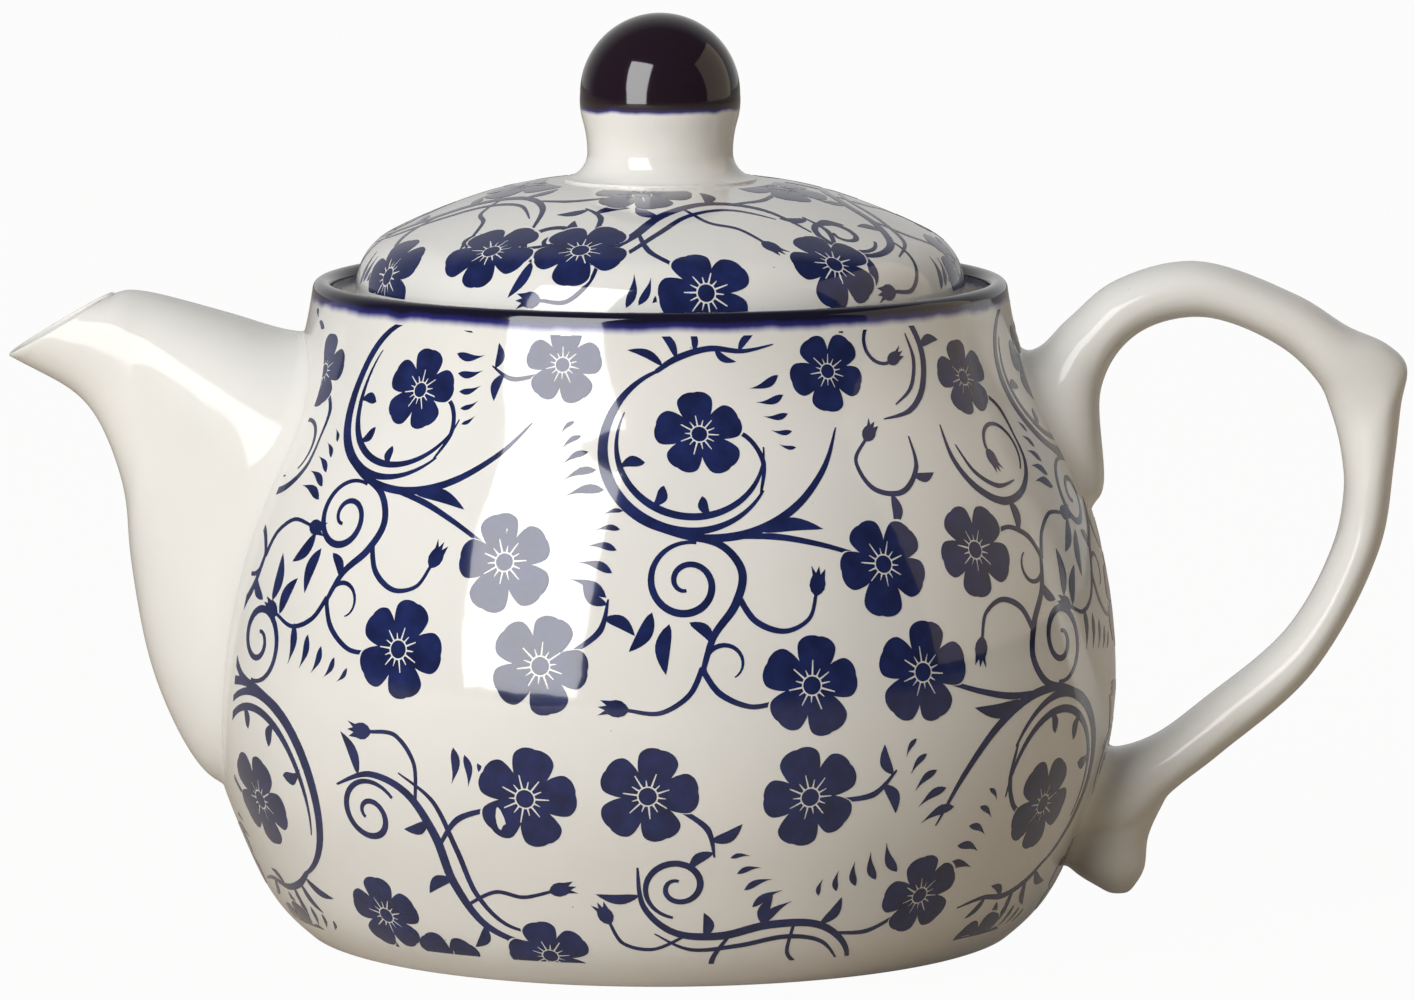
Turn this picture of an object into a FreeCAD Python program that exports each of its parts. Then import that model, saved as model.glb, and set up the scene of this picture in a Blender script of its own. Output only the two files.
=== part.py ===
"""Porcelain teapot with a lift-off lid, built piece by piece as a potter assembles it.

Frame: millimetres, +Z up, origin on the table at the pot's own axis, spout towards -X, handle towards +X.
Pieces: the pot shell, the spout and the handle that are luted to it, the lid, and the knob luted to the lid.
"""

import FreeCAD, Part
import math
import os
import re
from collections import namedtuple

import Sketcher
from FreeCAD import Placement, Rotation, Vector

doc = FreeCAD.newDocument("Teapot")
sheet = doc.addObject("Spreadsheet::Sheet", "Sizes")

# Driving dimensions: name, millimetres (or a count), what it is
SIZES = [
    ("foot_inset", 17.0, "how far the foot ring's outer edge lies inside the belly"),
    ("foot_width", 4.2, "width of the foot ring's flat face"),
    ("foot_recess", 2.5, "height of the recess inside the foot ring"),
    ("recess_slope", 1.2, "how far the recess draws in towards its top"),
    ("base_swell", 7.6, "how far the rounded base edge stands out from the foot"),
    ("base_height", 9.0, "top of the rounded base edge"),
    ("belly_radius", 75.8, "widest outer radius of the pot"),
    ("belly_height", 42.0, "height of the widest point"),
    ("lower_draw", 3.1, "how far the pot draws in by the lower belly point"),
    ("lower_drop", 18.0, "lower belly point, below the widest point"),
    ("upper_draw", 3.9, "how far the pot draws in by the upper belly point"),
    ("upper_rise", 27.3, "upper belly point, above the widest point"),
    ("rim_radius", 57.6, "outer radius at the rim"),
    ("rim_height", 108.5, "height of the rim above the table"),
    ("shoulder_pinch", 0.85, "how far the shoulder lies inside the mean of the upper belly and the rim"),
    ("shoulder_drop", 20.5, "shoulder point, below the rim"),
    ("wall", 4.2, "wall of the pot"),
    ("floor_thickness", 4.5, "floor of the pot over the recess"),
    ("floor_rise", 3.0, "how much higher the inner base edge lies than the outer"),
    ("lip_thickness", 3.2, "thickness of the round lip at the rim"),
    ("seat_depth", 6.5, "lid seat, below the rim"),
    ("seat_width", 4.5, "width of the lid's bearing on the seat"),
    ("ledge_thickness", 3.4, "thickness of the seat ledge at its edge"),
    ("ledge_slope", 3.2, "how much the ledge's underside falls to the wall"),
    ("strainer_height", 62.0, "height of the strainer's middle hole"),
    ("strainer_hole", 5.0, "diameter of a strainer hole"),
    ("strainer_pitch", 9.0, "spacing of the rings of strainer holes"),
    ("strainer_rings", 1, "rings of holes around the middle one"),
    ("lid_side_gap", 3.9, "gap between the lid's edge and the lip"),
    ("lid_edge_height", 5.0, "upright edge of the lid above its seat"),
    ("lid_shoulder_inset", 5.5, "lid shoulder point, inside the edge"),
    ("lid_shoulder_rise", 9.0, "lid shoulder point, above the upright edge"),
    ("lid_dome_radius", 31.0, "radius of the lid's dome point"),
    ("lid_dome_rise", 5.9, "lid dome point, above the shoulder point"),
    ("lid_crown_rise", 2.9, "flat crown under the knob, above the dome point"),
    ("lid_wall", 3.8, "wall of the lid"),
    ("collar_gap", 1.0, "gap between the lid's collar and the mouth"),
    ("collar_wall", 3.5, "wall of the lid's collar"),
    ("collar_depth", 14.0, "depth of the lid's collar below the seat"),
    ("vent_hole", 3.6, "diameter of the steam vent in the lid"),
    ("vent_offset", 23.0, "steam vent, behind the lid's axis"),
    ("knob_foot_radius", 16.0, "radius of the knob's flared foot"),
    ("knob_foot_edge", 0.35, "upright edge of the flared foot"),
    ("knob_neck_radius", 12.05, "radius of the knob's neck"),
    ("knob_neck_rise", 4.6, "neck, above the crown"),
    ("knob_radius", 13.25, "radius of the knob's ball top"),
    ("knob_ball_rise", 14.4, "centre of the ball top, above the crown"),
    ("knob_wall", 4.0, "wall of the hollow knob"),
    ("knob_cast_hole", 4.0, "radius of the casting hole from lid to knob"),
    ("root_depth", 8.0, "how far a luted root is first shaped into the pot"),
    ("root_tuck", 4.0, "how far the spout's lower edge drops over that depth"),
    ("spout_wall", 3.0, "wall of the spout"),
]

# Spout stations from root to mouth. Out is beyond the belly, up is from the rim, and half is half the width.
Spout = namedtuple("Spout", "name lower_out lower_up upper_out upper_up half")
SPOUT_STATIONS = [
    Spout("spout_root", 0.6, -83.1, -15.2, -9.1, 25.0),
    Spout("spout_throat", 8.4, -66.0, -5.0, -6.2, 20.0),
    Spout("spout_neck", 12.0, -47.0, 3.0, -3.9, 15.2),
    Spout("spout_bend", 13.5, -33.8, 8.6, -2.5, 11.8),
    Spout("spout_beak", 19.7, -20.4, 12.5, -2.1, 9.6),
    Spout("spout_mouth", 32.2, -12.4, 14.7, -2.1, 8.2),
]

# Handle stations from the upper root over the crown and the thumb spur to the lower root, measured alike
Handle = namedtuple("Handle", "name inner_out inner_up outer_out outer_up half")
HANDLE_STATIONS = [
    Handle("handle_upper_root", -2.7, -36.4, -14.3, -12.2, 12.5),
    Handle("handle_upper_bend", -2.7, -18.5, -8.2, -7.0, 9.4),
    Handle("handle_rise", 2.6, -9.7, -0.4, -0.6, 9.0),
    Handle("handle_crown", 13.6, -6.4, 13.0, 2.7, 8.8),
    Handle("handle_fall", 27.2, -11.5, 30.2, -3.1, 8.8),
    Handle("handle_saddle", 33.6, -17.7, 38.6, -8.3, 8.6),
    Handle("handle_spur_top", 35.4, -21.8, 44.7, -11.0, 8.2),
    Handle("handle_spur", 36.7, -26.0, 48.1, -14.6, 8.0),
    Handle("handle_spur_back", 37.5, -30.0, 47.2, -20.6, 8.2),
    Handle("handle_grip", 37.9, -35.5, 46.1, -30.6, 8.4),
    Handle("handle_back", 36.2, -44.7, 43.9, -44.7, 8.4),
    Handle("handle_waist", 28.6, -58.9, 33.2, -65.4, 8.4),
    Handle("handle_low", 15.2, -70.5, 17.4, -79.6, 9.0),
    Handle("handle_lower_bend", 6.9, -76.7, 9.1, -86.2, 9.8),
    Handle("handle_lower_root", -0.4, -79.0, 1.6, -94.0, 11.2),
]

# Lobe that hangs from the handle's lower root, from its top to its rounded end
Lobe = namedtuple("Lobe", "name inner_out inner_up outer_out outer_up half")
LOBE_STATIONS = [
    Lobe("lobe_top", -6.0, -84.0, 9.0, -86.2, 10.0),
    Lobe("lobe_middle", -9.0, -93.4, 5.7, -93.6, 9.4),
    Lobe("lobe_low", -7.6, -98.7, 5.1, -99.0, 8.2),
    Lobe("lobe_end", -1.4, -103.0, 2.8, -103.0, 3.6),
]


def fill_sheet():
    """Writes every driving dimension into the spreadsheet, one alias each."""
    rows = list(SIZES)
    for station in SPOUT_STATIONS + HANDLE_STATIONS + LOBE_STATIONS:
        for field in station._fields[1:]:
            rows.append((f"{station.name}_{field}", getattr(station, field), "station of a luted piece"))
    for number, (alias, value, note) in enumerate(rows, start=1):
        sheet.set(f"A{number}", note)
        sheet.set(f"B{number}", str(value))
        sheet.setAlias(f"B{number}", alias)
    doc.recompute()
    return [alias for alias, _, _ in rows]


ALIASES = set(fill_sheet())


def bound(expression):
    """The expression with each alias named in full, as a property of another object needs it."""
    return re.sub(r"[a-z_]+", lambda m: "Sizes." + m[0] if m[0] in ALIASES else m[0], expression)


def value(expression):
    """The expression's value in millimetres."""
    return float(sheet.evalExpression(bound(expression).replace("Sizes.", "")))


# Places that several pieces share, as expressions of the driving dimensions
FOOT = "(belly_radius - foot_inset)"
SHOULDER = "((rim_radius + belly_radius - upper_draw) / 2 - shoulder_pinch)"
SEAT_Z = "(rim_height - seat_depth)"
LIP_IN = "(rim_radius - lip_thickness)"
LID_EDGE = f"({LIP_IN} - lid_side_gap)"
MOUTH = f"({LID_EDGE} - seat_width)"
COLLAR = f"({MOUTH} - collar_gap)"
LID_SHOULDER_Z = f"({SEAT_Z} + lid_edge_height + lid_shoulder_rise)"
LID_DOME_Z = f"({LID_SHOULDER_Z} + lid_dome_rise)"
CROWN_Z = f"({LID_DOME_Z} + lid_crown_rise)"
FLOOR_Z = "(foot_recess + floor_thickness)"
BALL_Z = f"({CROWN_Z} + knob_ball_rise)"

# Outer outline of the pot, from the foot to the rim: radius, height
OUTER = [
    (FOOT, "0"),
    (f"{FOOT} + base_swell", "base_height"),
    ("belly_radius - lower_draw", "belly_height - lower_drop"),
    ("belly_radius", "belly_height"),
    ("belly_radius - upper_draw", "belly_height + upper_rise"),
    (SHOULDER, "rim_height - shoulder_drop"),
    ("rim_radius", "rim_height - lip_thickness / 2"),
]
BELLY = OUTER.index(("belly_radius", "belly_height"))
OVAL_POINTS = 16


def point(corner):
    """A corner's place in the sketch plane."""
    return Vector(value(corner[0]), value(corner[1]), 0)


def three_point_arc(start, middle, end):
    """The arc through three points, drawn counterclockwise as sketches hold it."""
    if (middle - start).cross(end - middle).z < 0:
        start, end = end, start
    return Part.Arc(start, middle, end)


def tangent_arc(start, heading, end):
    """The arc that leaves start along heading and ends at end, and its heading there."""
    chord = end - start
    turn = 2 * heading.getAngle(chord)
    side = Vector(-heading.y, heading.x, 0) * math.copysign(1, heading.cross(chord).z)
    radius = chord.Length / (2 * math.sin(turn / 2))
    centre = start + side * radius
    middle = centre + (start + end - centre * 2).normalize() * radius
    leaving = chord * (2 * heading.dot(chord) / chord.dot(chord)) - heading
    return three_point_arc(start, middle, end), leaving.normalize()


def arc_chain(corners, heading):
    """Arcs through the corners, each tangent to the one before, and the heading at the end."""
    arcs = []
    for here, there in zip(corners, corners[1:]):
        arc, heading = tangent_arc(point(here), heading, point(there))
        arcs.append(arc)
    return arcs, heading


class Outline:
    """A closed outline in a sketch, whose corners are bound to the spreadsheet."""

    def __init__(self, sketch):
        self.sketch = sketch
        self.edges = []
        self.placed = set()

    def end_at(self, edge, place):
        """Which end of an edge, 1 or 2, lies at a place."""
        geometry = self.sketch.Geometry[edge]
        return 1 if geometry.StartPoint.distanceToPoint(place) < geometry.EndPoint.distanceToPoint(place) else 2

    def fix(self, edge, corner):
        """Binds an edge's end to its corner's two expressions."""
        place = point(corner)
        end = self.end_at(edge, place)
        for kind, axis, size, expression in (
            ("DistanceX", -2, place.x, corner[0]),
            ("DistanceY", -1, place.y, corner[1]),
        ):
            if abs(size) < 1e-9:
                self.sketch.addConstraint(Sketcher.Constraint("PointOnObject", edge, end, axis))
            else:
                made = self.sketch.addConstraint(Sketcher.Constraint(kind, -1, 1, edge, end, size))
                self.sketch.setExpression(f"Constraints[{made}]", bound(expression))

    def join(self, first, second, corner, tangent=False):
        """Joins two edges at a corner, and binds the corner."""
        place = point(corner)
        ends = first, self.end_at(first, place), second, self.end_at(second, place)
        self.sketch.addConstraint(Sketcher.Constraint("Tangent" if tangent else "Coincident", *ends))
        self.fix(second, corner)

    def add(self, curve):
        """Adds one edge and returns its number."""
        return self.sketch.addGeometry(curve, False)

    def level(self, arc, corner):
        """Sets an arc upright at a corner, with its centre level with it."""
        self.sketch.addConstraint(Sketcher.Constraint("Horizontal", arc, 3, arc, self.end_at(arc, point(corner))))


def add_smooth(outline, corners, top):
    """Draws arcs through the corners, smooth at each one and upright at corner number top. Returns the edges in order."""
    up, _ = arc_chain(corners[top:], Vector(0, 1, 0))
    down, _ = arc_chain(corners[top::-1], Vector(0, -1, 0))
    edges = [outline.add(arc) for arc in down[::-1] + up]
    for number, (first, second) in enumerate(zip(edges, edges[1:]), start=1):
        outline.join(first, second, corners[number], tangent=True)
    outline.level(edges[min(top, len(edges) - 1)], corners[top])
    return edges


def add_lines(outline, corners):
    """Draws straight edges through the corners. Returns the edges in order."""
    edges = [outline.add(Part.LineSegment(point(a), point(b))) for a, b in zip(corners, corners[1:])]
    for number, (first, second) in enumerate(zip(edges, edges[1:]), start=1):
        outline.join(first, second, corners[number])
    return edges


def plane(body, role):
    """One of a body's own origin planes."""
    return next(feature for feature in body.Origin.OriginFeatures if feature.Role == role)


def sketch_in(body, name, role):
    """A new sketch on one of a body's origin planes."""
    sketch = body.newObject("Sketcher::SketchObject", name)
    sketch.AttachmentSupport = [(plane(body, role), "")]
    sketch.MapMode = "FlatFace"
    return sketch


def new_body(label):
    """A new body with its own label."""
    body = doc.addObject("PartDesign::Body", label)
    body.Label = label
    return body


def revolve(body, sketch):
    """Turns a body's outline about the pot's axis."""
    turned = body.newObject("PartDesign::Revolution", sketch.Name + "_turned")
    turned.Profile = sketch
    turned.ReferenceAxis = (sketch, ["V_Axis"])
    turned.Angle = 360
    sketch.Visibility = False
    doc.recompute()
    return turned


# Pot shell: foot ring, wall, lip, seat ledge and strainer holes
def make_pot_body():
    body = new_body("pot_body")
    sketch = sketch_in(body, "pot_outline", "XZ_Plane")
    outline = Outline(sketch)
    lip_z = OUTER[-1][1]
    outer = add_smooth(outline, OUTER, BELLY)
    lip_in = (LIP_IN, lip_z)
    crest = Vector(value("rim_radius - lip_thickness / 2"), value("rim_height"), 0)
    lip = outline.add(three_point_arc(point(OUTER[-1]), crest, point(lip_in)))
    outline.join(outer[-1], lip, OUTER[-1])
    outline.level(lip, OUTER[-1])

    inside = [
        (f"{FOOT} + base_swell - wall", "base_height + floor_rise"),
        ("belly_radius - lower_draw - wall", "belly_height - lower_drop"),
        ("belly_radius - wall", "belly_height"),
        ("belly_radius - upper_draw - wall", "belly_height + upper_rise"),
        (f"{SHOULDER} - wall", "rim_height - shoulder_drop"),
    ]
    ledge = [
        lip_in,
        (LIP_IN, SEAT_Z),
        (MOUTH, SEAT_Z),
        (MOUTH, f"{SEAT_Z} - ledge_thickness"),
        ("rim_radius - wall", f"{SEAT_Z} - ledge_thickness - ledge_slope"),
        inside[-1],
    ]
    shelf = add_lines(outline, ledge)
    outline.join(lip, shelf[0], lip_in)
    inner = add_smooth(outline, inside, 2)
    outline.join(shelf[-1], inner[-1], inside[-1])

    # The inner base edge rounds into the level floor
    _, heading = arc_chain(inside[2::-1], Vector(0, -1, 0))
    edge = point(inside[0])
    rise = edge.y - value(FLOOR_Z)
    normal = Vector(heading.y, -heading.x, 0)
    radius = rise / (1 - normal.y)
    centre = edge + normal * radius
    floor_end = Vector(centre.x, value(FLOOR_Z), 0)
    middle = centre + (edge + floor_end - centre * 2).normalize() * radius
    corner = outline.add(three_point_arc(edge, middle, floor_end))
    outline.join(inner[0], corner, inside[0], tangent=True)
    base = [
        ("0", FLOOR_Z),
        ("0", "foot_recess"),
        (f"{FOOT} - foot_width - recess_slope", "foot_recess"),
        (f"{FOOT} - foot_width", "0"),
        OUTER[0],
    ]
    floor = outline.add(Part.LineSegment(floor_end, point(base[0])))
    outline.sketch.addConstraint(
        Sketcher.Constraint("Tangent", corner, outline.end_at(corner, floor_end), floor, 1)
    )
    under = add_lines(outline, base)
    outline.join(floor, under[0], base[0])
    outline.sketch.addConstraint(Sketcher.Constraint("Horizontal", floor))
    outline.join(under[-1], outer[0], OUTER[0])
    revolve(body, sketch)

    holes = sketch_in(body, "strainer_holes", "YZ_Plane")
    holes.setExpression("AttachmentOffset.Base.y", bound("strainer_height"))
    first = None
    for ring in range(int(value("strainer_rings")) + 1):
        count = 6 * ring or 1
        for number in range(count):
            angle = 360 * number / count
            across = f"strainer_pitch * {ring} * cos({angle} deg)"
            along = f"strainer_pitch * {ring} * sin({angle} deg)"
            place = Vector(value(across), value(along), 0)
            circle = holes.addGeometry(Part.Circle(place, Vector(0, 0, 1), value("strainer_hole / 2")), False)
            if first is None:
                first = circle
                size = holes.addConstraint(Sketcher.Constraint("Radius", circle, value("strainer_hole / 2")))
                holes.setExpression(f"Constraints[{size}]", bound("strainer_hole / 2"))
            else:
                holes.addConstraint(Sketcher.Constraint("Equal", first, circle))
            for kind, axis, expression, size in (
                ("DistanceX", -2, across, place.x),
                ("DistanceY", -1, along, place.y),
            ):
                if abs(size) < 1e-6:
                    holes.addConstraint(Sketcher.Constraint("PointOnObject", circle, 3, axis))
                else:
                    made = holes.addConstraint(Sketcher.Constraint(kind, -1, 1, circle, 3, size))
                    holes.setExpression(f"Constraints[{made}]", bound(expression))
    before = body.Shape.Volume
    strainer = body.newObject("PartDesign::Pocket", "strainer")
    strainer.Profile = holes
    strainer.Type = "ThroughAll"
    doc.recompute()
    assert body.Shape.Volume < before, "the strainer holes cut nothing"
    return body


# Lid: domed shell with a flat crown, a bearing rim and a deep collar
def make_lid():
    body = new_body("lid")
    sketch = sketch_in(body, "lid_outline", "XZ_Plane")
    outline = Outline(sketch)
    edge_z = f"{SEAT_Z} + lid_edge_height"
    dome = [
        (LID_EDGE, edge_z),
        (f"{LID_EDGE} - lid_shoulder_inset", LID_SHOULDER_Z),
        ("lid_dome_radius", LID_DOME_Z),
        ("knob_foot_radius", CROWN_Z),
    ]
    under = [
        (f"{COLLAR} - collar_wall", f"{LID_SHOULDER_Z} - lid_wall + lid_edge_height / 10"),
        ("lid_dome_radius", f"{LID_DOME_Z} - lid_wall"),
        ("knob_foot_radius", f"{CROWN_Z} - lid_wall"),
    ]
    outer = add_smooth(outline, dome, 0)
    crown = [dome[-1], ("knob_cast_hole", CROWN_Z), ("knob_cast_hole", under[-1][1]), under[-1]]
    top = add_lines(outline, crown)
    outline.join(outer[-1], top[0], dome[-1])
    inner = add_lines(outline, under[::-1])
    outline.join(top[-1], inner[0], under[-1])
    collar = [
        under[0],
        (under[0][0], f"{SEAT_Z} - collar_depth"),
        (COLLAR, f"{SEAT_Z} - collar_depth"),
        (COLLAR, SEAT_Z),
        (LID_EDGE, SEAT_Z),
        dome[0],
    ]
    ring = add_lines(outline, collar)
    outline.join(inner[-1], ring[0], under[0])
    outline.join(ring[-1], outer[0], dome[0])
    revolve(body, sketch)

    hole = sketch_in(body, "vent_outline", "XY_Plane")
    circle = hole.addGeometry(Part.Circle(Vector(0, value("vent_offset"), 0), Vector(0, 0, 1), 1), False)
    hole.addConstraint(Sketcher.Constraint("PointOnObject", circle, 3, -2))
    away = hole.addConstraint(Sketcher.Constraint("DistanceY", -1, 1, circle, 3, value("vent_offset")))
    hole.setExpression(f"Constraints[{away}]", bound("vent_offset"))
    size = hole.addConstraint(Sketcher.Constraint("Radius", circle, value("vent_hole / 2")))
    hole.setExpression(f"Constraints[{size}]", bound("vent_hole / 2"))
    before = body.Shape.Volume
    vent = body.newObject("PartDesign::Pocket", "steam_vent")
    vent.Profile = hole
    vent.Type = "ThroughAll"
    vent.Reversed = True
    doc.recompute()
    assert body.Shape.Volume < before, "the steam vent cuts nothing"
    return body


# Knob: hollow ball top on a waisted neck with a flared foot
def make_lid_knob():
    body = new_body("lid_knob")
    sketch = sketch_in(body, "knob_outline", "XZ_Plane")
    outline = Outline(sketch)
    neck_z = f"{CROWN_Z} + knob_neck_rise"
    ball = [
        ("knob_neck_radius", neck_z),
        ("knob_radius", BALL_Z),
        ("0", f"{BALL_Z} + knob_radius"),
    ]
    hollow = [
        ("knob_neck_radius - knob_wall", neck_z),
        ("knob_radius - knob_wall", BALL_Z),
        ("0", f"{BALL_Z} + knob_radius - knob_wall"),
    ]
    skin = add_smooth(outline, ball, 1)
    flare = [("knob_foot_radius", f"{CROWN_Z} + knob_foot_edge"), ball[0]]
    arcs, _ = arc_chain(flare[::-1], Vector(0, -1, 0))
    foot = outline.add(arcs[0])
    outline.level(foot, ball[0])
    outline.join(skin[0], foot, ball[0])
    rim = add_lines(
        outline,
        [
            (hollow[0][0], neck_z),
            (hollow[0][0], CROWN_Z),
            ("knob_foot_radius", CROWN_Z),
            flare[0],
        ],
    )
    outline.join(rim[-1], foot, flare[0])
    bore = add_smooth(outline, hollow, 1)
    outline.join(bore[0], rim[0], hollow[0])
    pole = outline.add(Part.LineSegment(point(hollow[-1]), point(ball[-1])))
    outline.join(bore[-1], pole, hollow[-1])
    outline.join(skin[-1], pole, ball[-1])
    revolve(body, sketch)
    return body


# The pot's outer form as a plain solid, which shapes the luted roots
def make_envelope():
    sketch = doc.addObject("Sketcher::SketchObject", "envelope_outline")
    sketch.Placement = Placement(Vector(), Rotation(Vector(1, 0, 0), 90))
    outline = Outline(sketch)
    outer = add_smooth(outline, OUTER, BELLY)
    closing = add_lines(outline, [OUTER[-1], ("0", OUTER[-1][1]), ("0", "0"), OUTER[0]])
    outline.join(outer[-1], closing[0], OUTER[-1])
    outline.join(closing[-1], outer[0], OUTER[0])
    solid = doc.addObject("Part::Revolution", "envelope")
    solid.Source = sketch
    solid.Axis = Vector(0, 0, 1)
    solid.Base = Vector()
    solid.Angle = 360
    solid.Solid = True
    doc.recompute()
    return solid


def rails(stations, direction):
    """The two edge lines and the half widths of a luted piece's stations, in its own plane."""
    reach = value("belly_radius")
    top = value("rim_height")
    first, second, half = [], [], []
    for station in stations:
        ax, az, bx, bz, wide = (value(f"{station.name}_{field}") for field in station._fields[1:])
        first.append(Vector(direction * (reach + ax), 0, top + az))
        second.append(Vector(direction * (reach + bx), 0, top + bz))
        half.append(wide)
    return first, second, half


def oval(first, second, half, inset=0.0):
    """Points round an oval section that spans two edge points, drawn in on all sides by inset."""
    centre = (first + second) / 2
    along = (second - first).normalize() * ((second - first).Length / 2 - inset)
    aside = Vector(0, half - inset, 0)
    turns = [2 * math.pi * number / OVAL_POINTS for number in range(OVAL_POINTS)]
    return [centre + along * math.cos(turn) + aside * math.sin(turn) for turn in turns]


def skin(name, ovals):
    """A solid whose one smooth skin passes through every oval, with a flat face at each end."""
    around = [float(number) for number in range(OVAL_POINTS + 1)]
    rings = []
    for points in ovals:
        ring = Part.BSplineCurve()
        ring.interpolate(points, PeriodicFlag=True, Parameters=around)
        rings.append(ring)
    centres = [sum(points, Vector()) / OVAL_POINTS for points in ovals]
    lengths = [0.0]
    for here, there in zip(centres, centres[1:]):
        lengths.append(lengths[-1] + here.distanceToPoint(there))
    rails_along = []
    for poles in zip(*(ring.getPoles() for ring in rings)):
        rail = Part.BSplineCurve()
        rail.interpolate(list(poles), Parameters=lengths)
        rails_along.append(rail)
    surface = Part.BSplineSurface()
    surface.buildFromPolesMultsKnots(
        [list(row) for row in zip(*(rail.getPoles() for rail in rails_along))],
        rails_along[0].getMultiplicities(),
        rings[0].getMultiplicities(),
        rails_along[0].getKnots(),
        rings[0].getKnots(),
        False,
        True,
        rails_along[0].Degree,
        rings[0].Degree,
    )
    side = surface.toShape()
    ends = [Part.Face(Part.Wire([surface.uIso(length).toShape()])) for length in (lengths[0], lengths[-1])]
    shell = Part.makeShell([side] + ends)
    shell.sewShape()
    solid = Part.Solid(Part.Shell(shell.Faces))
    if solid.Volume < 0:
        solid.reverse()
    piece = doc.addObject("Part::Feature", name)
    piece.Shape = solid
    return piece


def cut(name, base, tool):
    """The base without the tool."""
    result = doc.addObject("Part::Cut", name)
    result.Base = base
    result.Tool = tool
    doc.recompute()
    return result


def sunk(first, second, direction, drop=0.0):
    """A root section's edge points moved into the pot, so that the pot's own form can trim the root."""
    inward = Vector(-direction * value("root_depth"), 0, 0)
    return first + inward - Vector(0, 0, drop), second + inward


# Spout: hollow, wide at its root, drawn up into a beak
def make_spout(envelope):
    lower, upper, half = rails(SPOUT_STATIONS, -1)
    wall = value("spout_wall")
    root = sunk(lower[0], upper[0], -1, value("root_tuck"))
    stations = [(*root, half[0])] + list(zip(lower, upper, half))
    lift = (upper[-1] - lower[-1]).cross(Vector(0, 1, 0)).normalize() * wall
    past = lower[-1] + lift, upper[-1] + lift, half[-1]
    outside = skin("spout_outside", [oval(*station) for station in stations])
    bore = skin("spout_bore", [oval(*station, wall) for station in stations + [past]])
    spout = cut("spout", cut("spout_hollow", outside, bore), envelope)
    spout.Label = "spout"
    return spout


# Handle: an open ear with a thumb spur, flared roots and a hanging lobe
def make_handle(envelope):
    inner, outer, half = rails(HANDLE_STATIONS, 1)
    upper_root = *sunk(inner[0], outer[0], 1), half[0]
    lower_root = *sunk(inner[-1], outer[-1], 1), half[-1]
    ear = skin("handle_ear", [oval(*station) for station in [upper_root, *zip(inner, outer, half), lower_root]])
    lobe = skin("handle_lobe", [oval(*station) for station in zip(*rails(LOBE_STATIONS, 1))])
    whole = doc.addObject("Part::Fuse", "handle_whole")
    whole.Base = ear
    whole.Tool = lobe
    doc.recompute()
    handle = cut("handle", whole, envelope)
    handle.Label = "handle"
    return handle


def check(pieces):
    """Stops the build if an object failed or a piece is not a sound solid."""
    doc.recompute()
    failed = [item.Label for item in doc.Objects if {"Invalid", "Error"} & set(item.State)]
    assert not failed, f"failed objects: {failed}"
    for piece in pieces:
        shape = piece.Shape
        assert not shape.isNull() and shape.isValid() and shape.Solids, f"{piece.Label} is not a sound solid"
        box = shape.BoundBox
        print(
            f"{piece.Label}: {len(shape.Solids)} solid, {shape.Volume / 1000:.1f} cm3, "
            f"x {box.XMin:.1f} to {box.XMax:.1f}, y {box.YMin:.1f} to {box.YMax:.1f}, z {box.ZMin:.1f} to {box.ZMax:.1f}"
        )


def main():
    """Builds every piece and writes one STEP file each."""
    pot_body = make_pot_body()
    envelope = make_envelope()
    pieces = [pot_body, make_spout(envelope), make_handle(envelope), make_lid(), make_lid_knob()]
    check(pieces)
    os.makedirs("parts", exist_ok=True)
    for piece in pieces:
        piece.Shape.exportStep(f"parts/{piece.Label}.step")


main()
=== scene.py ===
"""Looks of a blue-and-white porcelain teapot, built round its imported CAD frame.

Sizes are in millimetres with the pot's axis at x = y = 0 and the table at z = 0.
The spout points to -X, the handle to +X and the front looks towards -Y.
"""

from __future__ import annotations

import bisect
import logging
import math
import random
from collections.abc import Callable
from dataclasses import dataclass, field
from enum import Enum

import bmesh
import bpy
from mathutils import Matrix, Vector
from mathutils.geometry import delaunay_2d_cdt


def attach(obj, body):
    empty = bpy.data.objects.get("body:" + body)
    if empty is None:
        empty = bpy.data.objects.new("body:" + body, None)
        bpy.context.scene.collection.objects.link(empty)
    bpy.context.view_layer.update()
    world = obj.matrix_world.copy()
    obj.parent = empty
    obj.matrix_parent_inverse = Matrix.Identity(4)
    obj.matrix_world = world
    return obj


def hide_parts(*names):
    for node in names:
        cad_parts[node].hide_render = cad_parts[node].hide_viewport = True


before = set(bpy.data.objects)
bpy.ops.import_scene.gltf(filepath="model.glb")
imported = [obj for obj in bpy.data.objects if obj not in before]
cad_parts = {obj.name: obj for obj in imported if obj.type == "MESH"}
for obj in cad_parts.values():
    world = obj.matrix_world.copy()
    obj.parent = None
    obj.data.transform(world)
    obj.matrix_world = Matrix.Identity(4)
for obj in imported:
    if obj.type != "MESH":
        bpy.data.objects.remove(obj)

MM = 0.001
TURN = 2.0 * math.pi
# Edges sharper than this many degrees stay sharp: on most pieces, then on spout and handle.
SHARP_ANGLE = 40.0
ROOT_ANGLE = 60.0
# A stroke that evens a run is followed by one that pushes back a little more, so it keeps its size.
RIB_PULL = 0.5
RIB_PUSH = -0.505
# The spacing of points on a rounded corner, as a share of its radius.
ARC_STEP = 0.3
# The least half width of a section, in millimetres.
LEAST_HALF = 0.2
# Points closer than these are welded, dissolved as slivers or counted as on the axis.
WELD_MM = 0.004
SEAM_MM = 0.002
SLIVER_MM = 0.001
ON_AXIS_MM = 0.01
TINY = 1e-6
LOG = logging.getLogger("teapot")

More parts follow.
